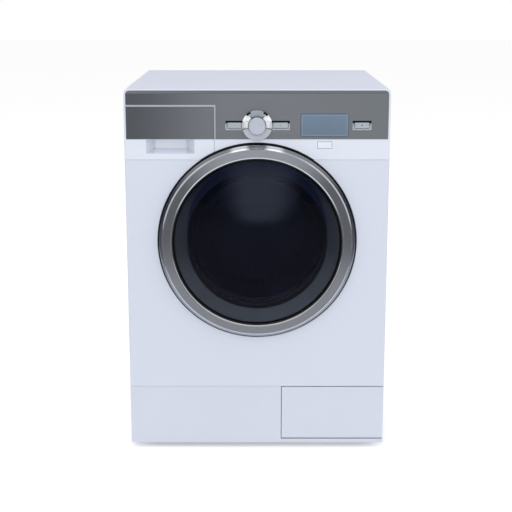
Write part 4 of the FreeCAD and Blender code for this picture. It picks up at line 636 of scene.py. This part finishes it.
def verts_and_edges(geometry):
    """Vertices and edges that an operator gave back."""
    return ([item for item in geometry if isinstance(item, bmesh.types.BMVert)],
            [item for item in geometry if isinstance(item, bmesh.types.BMEdge)])


def sheet_quad(bm, place, corners):
    """One face of a sheet, from corners given as angle, run, face of the sheet and press."""
    bm.faces.new([bm.verts.new(place(*corner)) for corner in corners])


def plain_strip(bm, place, columns, runs):
    """Both faces of a sheet over one column, without holes, from run to run."""
    half = math.pi / columns
    for start, end in zip(runs, runs[1:]):
        for left, right in ((-half, 0.0), (0.0, half)):
            for face in (0, 1):
                sheet_quad(bm, place, ((left, start, face, 0), (right, start, face, 0), (right, end, face, 0),
                                       (left, end, face, 0)))


def sheet_rim(bm, place, columns, run):
    """Cut edge of a sheet over one column."""
    half = math.pi / columns
    for left, right in ((-half, 0.0), (0.0, half)):
        sheet_quad(bm, place, ((left, run, 0, 0), (right, run, 0, 0), (right, run, 1, 0), (left, run, 1, 0)))


def punch_rows(bm, place, columns, rows, start, end, arm):
    """Staggered cells of one column, each with an eight-sided hole pressed outward through the sheet."""
    half = math.pi / columns
    pitch = (end - start) / rows
    press = sizes().hole_dimple
    around = ((-1, -1), (0, -1), (1, -1), (1, 0), (1, 1), (0, 1), (-1, 1), (-1, 0))
    for row in range(rows):
        turn = half * (row % 2)
        middle = start + (row + 0.5) * pitch
        border = [(turn + half * x, middle + pitch / 2 * y) for x, y in around]
        edge = []
        for x, y in around:
            reach = sizes().hole_radius / math.hypot(x, y)
            edge.append((turn + reach * x / arm(middle), middle + reach * y))
        for k in range(len(around)):
            for face in (0, 1):
                sheet_quad(bm, place, ((*border[k - 1], face, 0), (*border[k], face, 0), (*edge[k], face, press),
                                       (*edge[k - 1], face, press)))
            sheet_quad(bm, place, ((*edge[k - 1], 0, press), (*edge[k], 0, press), (*edge[k], 1, press),
                                   (*edge[k - 1], 1, press)))


def add_block(bm, low, high):
    """Box between two corners."""
    low = Vector(low)
    high = Vector(high)
    place = Matrix.Translation((low + high) / 2) @ Matrix.Diagonal((*(high - low), 1.0))
    bmesh.ops.create_cube(bm, size=1.0, matrix=place)


def round_along_depth(bm, radius, segments):
    """Rounds the edges that run along the depth."""
    edges = [edge for edge in bm.edges if abs((edge.verts[0].co - edge.verts[1].co).normalized().y) > 0.9]
    bmesh.ops.bevel(bm, geom=edges, offset=radius, affect="EDGES", segments=segments, profile=0.5, material=-1)


# Operators

class WASHER_OT_finishes(bpy.types.Operator):
    """Builds the finishes and gives each solid its own"""

    bl_idname = "washer.finishes"
    bl_label = "Finishes"

    def execute(self, context):
        tones = colours()
        for build in (skin_group, rub_group, axis_group):
            build()
        made = {
            "fascia_metal": fascia_material("Brushed fascia"),
            "bezel_silver": bezel_material("Silver bezel lacquer"),
            "display_grey": display_material("Unlit display"),
            "ring_chrome": ring_material("Door ring metal"),
            "dark_glass": window_material("Smoked window"),
            "clear_glass": bowl_material("Pressed glass"),
            "drum_steel": drum_material("Punched drum steel"),
        }
        plain = {
            "white_enamel": {"Coat_Weight": 0.1, "Coat_Roughness": 0.25},
            "grey_rubber": {"Specular_IOR_Level": 0.3},
            "black_rubber": {"Specular_IOR_Level": 0.3},
            "recess": {"Specular_IOR_Level": 0.15},
        }
        # Slot or use, name, colour, roughness, spread of tone, grain, patch, relief, metallic, rub
        for slot, *finish in (
                ("white_enamel", "Stove enamel", tones.enamel, (0.33, 0.36), 0.008, 420.0, 2.0, 0.008),
                ("white_worktop", "Worktop laminate", tones.worktop, (0.34, 0.40), 0.015, 1600.0, 3.0, 0.04),
                ("white_plastic", "White moulding", tones.moulding, (0.32, 0.38), 0.015, 1500.0, 3.0, 0.04),
                ("button_grey", "Satin button", tones.button, (0.30, 0.40), 0.08, 1800.0, 30.0, 0.05, 0.2, 0.12),
                ("knob_silver", "Satin knob", tones.knob, (0.30, 0.38), 0.05, 1600.0, 18.0, 0.04, 0.25, 0.10),
                ("board_green", "Circuit board", (0.03, 0.12, 0.06), (0.35, 0.5), 0.3, 300.0, 40.0, 0.2),
                ("black_plastic", "Black moulding", tones.black, (0.32, 0.45), 0.25, 1400.0, 8.0, 0.08),
                ("grey_rubber", "Grey rubber", tones.rubber, (0.55, 0.70), 0.12, 1100.0, 10.0, 0.12),
                ("tub_grey", "Filled tub plastic", tones.tub, (0.50, 0.62), 0.10, 800.0, 6.0, 0.15),
                ("lifter_grey", "Lifter moulding", (0.42, 0.43, 0.44), (0.35, 0.45), 0.06, 1200.0, 10.0, 0.08),
                ("cast_weight", "Cast concrete", (0.33, 0.33, 0.32), (0.75, 0.9), 0.35, 260.0, 12.0, 0.6),
                ("plain_steel", "Plain steel", (0.50, 0.50, 0.51), (0.28, 0.42), 0.12, 900.0, 14.0, 0.06, 0.95, 0.15),
                ("cast_alloy", "Cast alloy", (0.52, 0.53, 0.54), (0.42, 0.58), 0.12, 500.0, 10.0, 0.3, 0.9),
                ("motor_case", "Motor case", (0.30, 0.31, 0.33), (0.35, 0.5), 0.15, 700.0, 10.0, 0.1, 0.8, 0.12),
                ("black_rubber", "Black rubber", (0.018, 0.018, 0.019), (0.6, 0.78), 0.3, 900.0, 12.0, 0.15),
                ("tray_white", "Drawer moulding", (0.72, 0.75, 0.79), (0.30, 0.42), 0.05, 1300.0, 8.0, 0.06),
                ("pump_grey", "Pump moulding", (0.24, 0.25, 0.26), (0.42, 0.55), 0.12, 900.0, 9.0, 0.1),
                ("mark", "Printed mark and recess shade", (0.03, 0.035, 0.045), (0.45, 0.6), 0.2, 2500.0, 60.0, 0.05),
                ("recess", "Painted recess shadow", (0.006, 0.007, 0.010), (0.6, 0.7), 0.2, 2500.0, 60.0, 0.05),
                ("door_frame", "Door frame moulding", (0.50, 0.53, 0.51), (0.35, 0.45), 0.08, 1400.0, 8.0, 0.06),
                ("grey_print", "Grey print", (0.15, 0.18, 0.22), (0.42, 0.55), 0.1, 2500.0, 60.0, 0.04),
                ("pale_print", "Pale print", (0.74, 0.80, 0.88), (0.36, 0.46), 0.04, 2500.0, 40.0, 0.04)):
            made[slot] = skin_material(*finish, **plain.get(slot, {}))
        for part in frame["record"]["subparts"]:
            mesh = frame["nodes"][part["node"]].data
            mesh.materials.clear()
            mesh.materials.append(made[part["material_slot"]])
        front = panel_material("Panel moulding")
        for node, material in (("door_frame", made["door_frame"]), ("door_back_ring", made["white_plastic"]),
                               ("control_panel", front), ("drawer_front", front)):
            frame["nodes"][node].data.materials[0] = material
        return {"FINISHED"}


class WASHER_OT_gasket(bpy.types.Operator):
    """Door rubber: clamped groove, sealing lip, one deep fold and the bead on the tub"""

    bl_idname = "washer.gasket"
    bl_label = "Door rubber"

    def execute(self, context):
        wall = 0.0036
        neck = ring_radius - 0.0495
        inner = neck - 0.0013
        outer = neck + 0.0003
        collar = ring_radius - 0.0422
        crest = ring_radius - 0.0399
        trough = ring_radius - 0.0469
        lip = ring_radius - 0.0775
        profile = [
            (inner - wall, 0.0098), (inner, 0.0098), (inner, 0.0203), (outer, 0.0203), (outer, 0.0132),
            (outer + wall, 0.0132), (outer + wall, 0.0236), (crest, 0.0356), (crest, 0.0386),
            (trough, 0.0466), (trough, 0.0476), (collar + wall, 0.0600), (collar + wall, 0.0720),
            (collar, 0.0720), (collar, 0.0597), (collar - wall, 0.0587), (trough - wall, 0.0496),
            (trough - wall, 0.0456), (crest - wall - 0.001, 0.0366), (outer, 0.0276), (inner - wall, 0.0276),
            (lip, 0.0330), (lip, 0.0290), (inner - wall, 0.0200)]
        bm = bmesh.new()
        spin_loop(bm, [behind(radius, depth, drum_height) for radius, depth in profile],
                  behind(0, 0, drum_height), (0, 1, 0), sizes().round_steps)
        piece = finish_piece(bm, "door_rubber", "Grey rubber", 180.0)
        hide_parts("gasket")
        behind(0, 0.026, drum_height)
        behind(0, 0.058, drum_height)
        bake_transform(piece)
        soften(piece, sizes().smooth_levels)
        return {"FINISHED"}


class WASHER_OT_springs(bpy.types.Operator):
    """Pair of wound suspension springs with their end cups"""

    bl_idname = "washer.springs"
    bl_label = "Suspension springs"

    def execute(self, context):
        low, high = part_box("suspension_springs")
        reach = sizes().coil_radius
        wire = sizes().coil_wire
        per_turn = 20
        steps = per_turn * sizes().coil_turns
        rise = (high.z - low.z - 4 * wire) / steps
        y = (low.y + high.y) / 2
        bm = bmesh.new()
        for side in (low.x + (high.y - low.y) / 2, high.x - (high.y - low.y) / 2):
            section = [Vector((side + reach + wire * math.cos(k * math.pi / 4), y,
                               low.z + 2 * wire + wire * math.sin(k * math.pi / 4))) for k in range(8)]
            spin_loop(bm, section, (side, y, 0), (0, 0, 1), steps, 2 * math.pi * sizes().coil_turns,
                      (0, 0, rise))
            for foot, way in ((low.z, 1), (high.z, -1)):
                cup = [(0.003, 0.0), (reach + wire, 0.0), (reach + wire, 0.0016), (0.006, 0.0016),
                       (0.005, 0.006), (0.003, 0.006)]
                spin_loop(bm, [Vector((side + radius, y, foot + way * run)) for radius, run in cup],
                          (side, y, 0), (0, 0, 1), 24)
        bmesh.ops.holes_fill(bm, edges=[edge for edge in bm.edges if edge.is_boundary], sides=8)
        piece = finish_piece(bm, "suspension_coils", "Plain steel", 50.0)
        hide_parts("suspension_springs")
        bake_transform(piece)
        return {"FINISHED"}


class WASHER_OT_fill_bellows(bpy.types.Operator):
    """Ribbed rubber bellows between the dispenser and the tub"""

    bl_idname = "washer.fill_bellows"
    bl_label = "Fill bellows"

    def execute(self, context):
        low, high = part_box("fill_bellows")
        centre = (low + high) / 2
        outer = (high.x - low.x) / 2
        bore = outer - 0.0065
        skin = outer - 0.0040
        cuff = 0.014
        ribs = 4
        pitch = (high.z - low.z - 2 * cuff) / ribs
        wave = [(skin, low.z + cuff)]
        for rib in range(ribs):
            foot = low.z + cuff + rib * pitch
            wave += [(outer, foot + 0.4 * pitch), (outer, foot + 0.6 * pitch), (skin, foot + pitch)]
        profile = [(bore, low.z), (skin, low.z), *wave, (skin, high.z), (bore, high.z)]
        bm = bmesh.new()
        spin_loop(bm, [Vector((centre.x + radius, centre.y, z)) for radius, z in profile],
                  centre, (0, 0, 1), 40)
        piece = finish_piece(bm, "fill_hose", "Black rubber", 180.0)
        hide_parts("fill_bellows")
        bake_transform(piece)
        soften(piece, 1)
        return {"FINISHED"}


class WASHER_OT_sump_hose(bpy.types.Operator):
    """Bent rubber hose from the tub's trough to the pump"""

    bl_idname = "washer.sump_hose"
    bl_label = "Sump hose"

    def execute(self, context):
        low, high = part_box("sump_hose")
        outer = sizes().hose_radius
        bend = sizes().hose_bend
        wall = 0.003
        steps = 6
        x = low.x + (high.y - low.y) / 2
        y = (low.y + high.y) / 2
        floor = low.z + (high.y - low.y) / 2
        drop = (high.z - floor - bend) / steps
        bm = bmesh.new()
        for radius in (outer, outer - wall):
            ring = bmesh.ops.create_circle(bm, segments=28, radius=radius,
                                           matrix=Matrix.Translation((x, y, high.z)))["verts"]
            edges = list({edge for vert in ring for edge in vert.link_edges})
            for _ in range(steps):
                verts, edges = verts_and_edges(bmesh.ops.extrude_edge_only(bm, edges=edges)["geom"])
                bmesh.ops.translate(bm, verts=verts, vec=(0, 0, -drop))
            turned = bmesh.ops.spin(bm, geom=verts + edges, cent=(x + bend, y, floor + bend), axis=(0, -1, 0),
                                    dvec=(0, 0, 0), angle=math.pi / 2, steps=10, use_merge=False,
                                    use_duplicate=False)["geom_last"]
            _, edges = verts_and_edges(turned)
            verts, _ = verts_and_edges(bmesh.ops.extrude_edge_only(bm, edges=edges)["geom"])
            end = sum(vert.co.x for vert in verts) / len(verts)
            bmesh.ops.translate(bm, verts=verts, vec=(high.x - end, 0, 0))
        for axis, place in ((2, high.z), (0, high.x)):
            open_edges = [edge for edge in bm.edges if edge.is_boundary
                          and all(abs(vert.co[axis] - place) < 1e-5 for vert in edge.verts)]
            bmesh.ops.bridge_loops(bm, edges=open_edges)
        piece = finish_piece(bm, "sump_tube", "Black rubber", 60.0)
        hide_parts("sump_hose")
        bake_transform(piece)
        return {"FINISHED"}


class WASHER_OT_drum_sheets(bpy.types.Operator):
    """Drum wrapper and drum back with their staggered rows of punched, dimpled holes"""

    bl_idname = "washer.drum_sheets"
    bl_label = "Punched drum sheets"

    def execute(self, context):
        low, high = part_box("drum_wrapper")
        outer = (high.x - low.x) / 2
        sheet = 0.0012

        def on_wrapper(angle, run, face, press):
            radius = outer - face * sheet + press
            return (radius * math.sin(angle), run, drum_height - radius * math.cos(angle))

        columns = sizes().wrapper_columns
        margin = 0.014
        bm = bmesh.new()
        plain_strip(bm, on_wrapper, columns, (low.y, low.y + margin))
        punch_rows(bm, on_wrapper, columns, sizes().wrapper_rows, low.y + margin, high.y - margin,
                   lambda run: outer)
        plain_strip(bm, on_wrapper, columns, (high.y - margin, high.y))
        for rim in (low.y, high.y):
            sheet_rim(bm, on_wrapper, columns, rim)
        self.finish(bm, columns, "drum_shell", "drum_wrapper")

        low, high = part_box("drum_back")
        hub = 0.042
        flat = 0.072
        first = 0.092

        def on_back(angle, run, face, press):
            dish = (low.y - high.y + sheet) * min(1.0, max(0.0, (flat - run) / (flat - hub)))
            return (run * math.sin(angle), high.y + dish - face * sheet + press,
                    drum_height - run * math.cos(angle))

        columns = sizes().back_columns
        bm = bmesh.new()
        plain_strip(bm, on_back, columns, (0.0, hub, flat, first))
        punch_rows(bm, on_back, columns, sizes().back_rows, first, outer - margin, lambda run: run)
        plain_strip(bm, on_back, columns, (outer - margin, outer))
        sheet_rim(bm, on_back, columns, outer)
        self.finish(bm, columns, "drum_wall", "drum_back")
        return {"FINISHED"}

    def finish(self, bm, columns, label, node):
        """Repeats one column round the axis and makes the piece that replaces a node."""
        bmesh.ops.spin(bm, geom=bm.verts[:] + bm.edges[:] + bm.faces[:], cent=(0, 0, drum_height),
                       axis=(0, 1, 0), angle=2 * math.pi * (columns - 1) / columns, steps=columns - 1,
                       use_duplicate=True)
        bmesh.ops.remove_doubles(bm, verts=bm.verts, dist=5e-5)
        piece = finish_piece(bm, label, "Punched drum steel", 15.0)
        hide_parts(node)
        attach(piece, "drum")


class WASHER_OT_dial_shadow_marks(bpy.types.Operator):
    """Pair of black slit-shaped pieces in the dial bezel, painted shadow at the top ends of the gates"""

    bl_idname = "washer.dial_marks"
    bl_label = "Dial marks"

    def execute(self, context):
        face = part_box("control_bezels")[0].y
        lift = sizes().mark_height
        half = sizes().slit_sweep / 2
        inner = 0.0303
        outer = 0.0343
        sunk = 0.0038
        pivot = Vector((0, 0, knob_centre.z))
        bm = bmesh.new()
        # Each slit is a black block, painted shadow.
        for middle in (sizes().slit_angle, math.pi - sizes().slit_angle):
            start = Matrix.Rotation(middle - half, 4, (0, -1, 0))
            section = [pivot + start @ Vector((radius, y, 0)) for radius, y in (
                (inner, face - lift), (outer, face - lift), (outer, face + sunk), (inner, face + sunk))]
            spin_loop(bm, section, pivot, (0, -1, 0), 8, 2 * half)
        bmesh.ops.holes_fill(bm, edges=[edge for edge in bm.edges if edge.is_boundary], sides=4)
        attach(finish_piece(bm, "dial_slit_shadows", "Painted recess shadow"), "cabinet")
        return {"FINISHED"}


class WASHER_OT_channel_shadow_strips(bpy.types.Operator):
    """Black strips along the tops of the button channels, painted shadow under the channels' top edges"""

    bl_idname = "washer.channel_slots"
    bl_label = "Channel slots"

    def execute(self, context):
        z = knob_centre.z
        bm = bmesh.new()
        dial = 0.0325
        hook = 0.0042
        sunk = -0.0002
        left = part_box("left_button")[0].x - 0.0054
        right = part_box("right_button")[1].x + 0.0044
        start_low, start_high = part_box("start_button")
        spans = ((left, -dial), (dial, right), (start_low.x - 0.0050, start_high.x + 0.0050))
        for low, high in spans:
            # Black strips, painted shadow along each channel's top, with short hooks down at the channel ends.
            add_block(bm, behind(low, -0.0013, z + 0.0064), behind(high, sunk, z + 0.0103))
        for x in (left, right - hook, spans[2][0], spans[2][1] - hook):
            add_block(bm, behind(x, -0.00129, z + 0.0044), behind(x + hook, sunk, z + 0.0066))
        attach(finish_piece(bm, "channel_slots", "Painted recess shadow"), "cabinet")
        return {"FINISHED"}


class WASHER_OT_button_marks(bpy.types.Operator):
    """Small plain marks on the three push buttons"""

    bl_idname = "washer.button_marks"
    bl_label = "Button marks"

    def execute(self, context):
        lift = sizes().mark_height
        dot = 0.0014
        dot_depth = 0.0004
        dot_rise = 0.0002
        bar = Vector((0.0016, 0.0, 0.0003))
        bar_depth = 0.0003
        for body in ("left_button", "right_button", "start_button"):
            low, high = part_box(body)
            centre = (low + high) / 2
            centre.y = low.y
            bm = bmesh.new()
            if body == "start_button":
                place = Matrix.Translation(centre + Vector((0, dot_depth / 2 - lift, dot_rise)))
                bmesh.ops.create_cone(bm, cap_ends=True, segments=24, radius1=dot, radius2=dot, depth=dot_depth,
                                      matrix=place @ Matrix.Rotation(math.pi / 2, 4, "X"))
            else:
                add_block(bm, centre - bar - Vector((0, lift, 0)), centre + bar + Vector((0, bar_depth, 0)))
                round_along_depth(bm, 0.00025, 3)
            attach(finish_piece(bm, body + "_mark", "Printed mark and recess shade"), body)
        return {"FINISHED"}


class WASHER_OT_blank_frame(bpy.types.Operator):
    """Blank outlined field under the display"""

    bl_idname = "washer.blank_frame"
    bl_label = "Blank field"

    def execute(self, context):
        lift = sizes().mark_height
        line = sizes().frame_line
        bm = bmesh.new()
        low = behind(0.1348, 0, 0.7185)
        high = behind(0.1682, 0, 0.7345)
        add_block(bm, low - Vector((0, lift, 0)), high + Vector((0, 0.0003, 0)))
        face = min(bm.faces, key=lambda item: item.calc_center_median().y)
        bmesh.ops.inset_region(bm, faces=[face], thickness=line, depth=0.0, use_even_offset=True)
        round_along_depth(bm, 0.0008, 2)
        piece = finish_piece(bm, "blank_field", "Grey print")
        piece.data.materials.append(bpy.data.materials["Pale print"])
        for polygon in piece.data.polygons:
            inside = all(low.x + line * 0.9 <= piece.data.vertices[k].co.x <= high.x - line * 0.9
                         for k in polygon.vertices)
            if inside and polygon.normal.y < -0.9:
                polygon.material_index = 1
        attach(piece, "cabinet")
        return {"FINISHED"}


class WASHER_OT_screw_recess_shades(bpy.types.Operator):
    """Dark crosses on the rear cover's screws, painted shade standing in for their cross recesses"""

    bl_idname = "washer.screw_recesses"
    bl_label = "Screw recesses"

    def execute(self, context):
        head = 0.012
        long = 0.0022
        short = 0.0004
        proud = 0.00005
        mesh = frame["nodes"]["rear_cover_screws"].data
        back = max(vert.co.y for vert in mesh.vertices)
        ends = [vert.co for vert in mesh.vertices if vert.co.y > back - 1e-5]
        centres = []
        for point in ends:
            near = [other for other in ends if (other - point).length < head]
            centre = sum(near, Vector()) / len(near)
            if all((centre - known).length > head for known in centres):
                centres.append(centre)
        bm = bmesh.new()
        # Each cross is two thin dark blocks, painted shade of a recess.
        for centre in centres:
            for wide, tall in ((long, short), (short, long)):
                add_block(bm, centre - Vector((wide, short, tall)), centre + Vector((wide, proud, tall)))
        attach(finish_piece(bm, "screw_recesses", "Printed mark and recess shade"), "cabinet")
        return {"FINISHED"}


class WASHER_OT_stage(bpy.types.Operator):
    """Plain pale floor, soft lights, white room and the camera"""

    bl_idname = "washer.stage"
    bl_label = "Studio"

    def execute(self, context):
        scene = context.scene
        setting = studio()
        self.lay_floor(scene, setting)
        aim = Vector((0, 0, 0.45))
        for label, spot, side, power in (
                ("key_light", (-1.3, -3.4, 3.2), 2.6, setting.key_power),
                ("fill_light", (3.2, -1.6, 1.9), 2.4, setting.fill_power),
                ("top_light", (0.0, -0.4, 4.2), 4.5, setting.top_power)):
            lamp = bpy.data.lights.new(label, "AREA")
            lamp.shape = "SQUARE"
            lamp.size = side
            lamp.energy = power
            holder = bpy.data.objects.new(label, lamp)
            holder.location = spot
            holder.rotation_euler = (aim - Vector(spot)).to_track_quat("-Z", "Y").to_euler()
            holder.visible_glossy = False
            scene.collection.objects.link(holder)
        self.light_room(scene, setting)
        lens = bpy.data.cameras.new("camera")
        lens.sensor_width = 36.0
        lens.lens = setting.lens
        lens.shift_y = setting.frame_shift
        lens.clip_end = 100.0
        camera = bpy.data.objects.new("camera", lens)
        camera.location = setting.camera_place
        camera.rotation_euler = (math.pi / 2 - setting.camera_pitch, 0.0, 0.0)
        scene.collection.objects.link(camera)
        scene.camera = camera
        scene.view_settings.view_transform = "Standard"
        return {"FINISHED"}

    def lay_floor(self, scene, setting):
        """White floor, which mirrored rays see dark, with painted reflections for them: a bright strip just ahead of
        the machine and a soft veil far ahead of it.
        """
        material, shader, place = start_material("Pale floor")
        nodes = material.node_tree.nodes
        skin = place.group("Washer skin", Grain=60.0, Patch=0.6)
        dress(shader, Base_Color=skin["Tone"].tint((0.90, 0.90, 0.90), (0.93, 0.93, 0.93)),
              Roughness=skin["Gloss"].ramp(0.2, 0.8, 0.75, 0.85), Specular_IOR_Level=0.1,
              Emission_Color=white_light, Emission_Strength=setting.floor_glow)
        x, y, _ = place.split()
        # Painted reflections, seen only by mirrored rays: the bright strip near the machine and the veil far ahead.
        near = y.ramp(front_y - 0.40, front_y - 0.22) * abs(x).fade(0.5, 0.9)
        ahead = front_y - y
        spread = abs(x / ahead - veil_side) - ahead.ramp(4.0, 14.0, 0.0, 0.03)
        veil = ahead.ramp(3.2, 6.8) * spread.fade(0.03, 0.19)
        dark = veil.tint((0.14, 0.14, 0.17), (0.74, 0.86, 1.0))
        mirrored = fill(nodes.new("ShaderNodeBsdfDiffuse"), near.tint(dark, (0.95, 0.95, 0.96)))
        glossy = Value(nodes.new("ShaderNodeLightPath").outputs["Is Glossy Ray"])
        dress(nodes["Material Output"], Surface=choose_shader(glossy, Value(shader.outputs[0]), mirrored))
        bm = bmesh.new()
        bmesh.ops.create_grid(bm, x_segments=4, y_segments=4, size=setting.floor_size / 2)
        mesh = bpy.data.meshes.new("floor")
        bm.to_mesh(mesh)
        bm.free()
        mesh.materials.append(material)
        floor = bpy.data.objects.new("floor", mesh)
        scene.collection.objects.link(floor)

    def light_room(self, scene, setting):
        """White behind the machine, soft even light, and a darker room for mirrored rays, with painted reflections in
        it: two bright strips overhead with a dark gap between them, and a soft veil ahead.
        """
        world = bpy.data.worlds.new("Studio room")
        world.use_nodes = True
        nodes = world.node_tree.nodes
        soft = fill(nodes["Background"], white_light, setting.room_light)
        x, y, z = Value(nodes.new("ShaderNodeTexCoord").outputs["Generated"]).split()
        ahead = y.fade(0.0, 0.6) * z.fade(0.25, 0.80)
        side = abs(x)
        over = z.ramp(0.84, 0.88)
        # Painted reflections: bright strips overhead, a dark gap between them, and a soft veil ahead.
        strips = over * side.band((0.08, 0.16), (0.28, 0.36))
        middle = over * side.fade(0.06, 0.14)
        veil = y.fade(-0.85, -0.70) * abs(x - veil_side).fade(0.06, 0.22) * z.fade(0.10, 0.22)
        walls = ahead.tint((0.50, 0.51, 0.53), (0.055, 0.062, 0.095))
        walls = veil.tint(walls, (0.60, 0.67, 0.82))
        walls = strips.tint(middle.tint(walls, (0.09, 0.09, 0.10)), white_light)
        mirrored = fill(nodes.new("ShaderNodeBackground"), walls, strips * 0.5 + 1.0)
        seen = fill(nodes.new("ShaderNodeBackground"), white_light)
        rays = nodes.new("ShaderNodeLightPath").outputs
        chosen = choose_shader(Value(rays["Is Glossy Ray"]), soft, mirrored)
        chosen = choose_shader(Value(rays["Is Camera Ray"]), chosen, seen)
        dress(nodes["World Output"], Surface=chosen)
        scene.world = world


class WASHER_PT_pieces(bpy.types.Panel):
    """Lists the pieces and settings of the washing machine"""

    bl_idname = "WASHER_PT_pieces"
    bl_label = "Washing machine"
    bl_space_type = "VIEW_3D"
    bl_region_type = "UI"
    bl_category = "Washer"

    def draw(self, context):
        for operator in operators:
            self.layout.operator(operator.bl_idname)
        for group in (context.scene.washer_colours, context.scene.washer_sizes, context.scene.washer_studio):
            box = self.layout.box()
            for name in group.bl_rna.properties.keys():
                if name not in ("rna_type", "name"):
                    box.prop(group, name)


operators = (WASHER_OT_finishes, WASHER_OT_gasket, WASHER_OT_springs, WASHER_OT_fill_bellows,
             WASHER_OT_sump_hose, WASHER_OT_drum_sheets, WASHER_OT_dial_shadow_marks, WASHER_OT_channel_shadow_strips,
             WASHER_OT_button_marks, WASHER_OT_blank_frame, WASHER_OT_screw_recess_shades, WASHER_OT_stage)
settings = {"washer_colours": WasherColours, "washer_sizes": WasherSizes, "washer_studio": WasherStudio}


def register():
    for group in settings.values():
        bpy.utils.register_class(group)
    for name, group in settings.items():
        setattr(bpy.types.Scene, name, PointerProperty(type=group))
    for operator in operators:
        bpy.utils.register_class(operator)
    bpy.utils.register_class(WASHER_PT_pieces)


def unregister():
    bpy.utils.unregister_class(WASHER_PT_pieces)
    for operator in reversed(operators):
        bpy.utils.unregister_class(operator)
    for name, group in settings.items():
        delattr(bpy.types.Scene, name)
        bpy.utils.unregister_class(group)


def main():
    register()
    bpy.ops.washer.finishes()
    bpy.ops.washer.gasket()
    bpy.ops.washer.springs()
    bpy.ops.washer.fill_bellows()
    bpy.ops.washer.sump_hose()
    bpy.ops.washer.drum_sheets()
    bpy.ops.washer.dial_marks()
    bpy.ops.washer.channel_slots()
    bpy.ops.washer.button_marks()
    bpy.ops.washer.blank_frame()
    bpy.ops.washer.screw_recesses()
    bpy.ops.washer.stage()


if __name__ == "__main__":
    main()
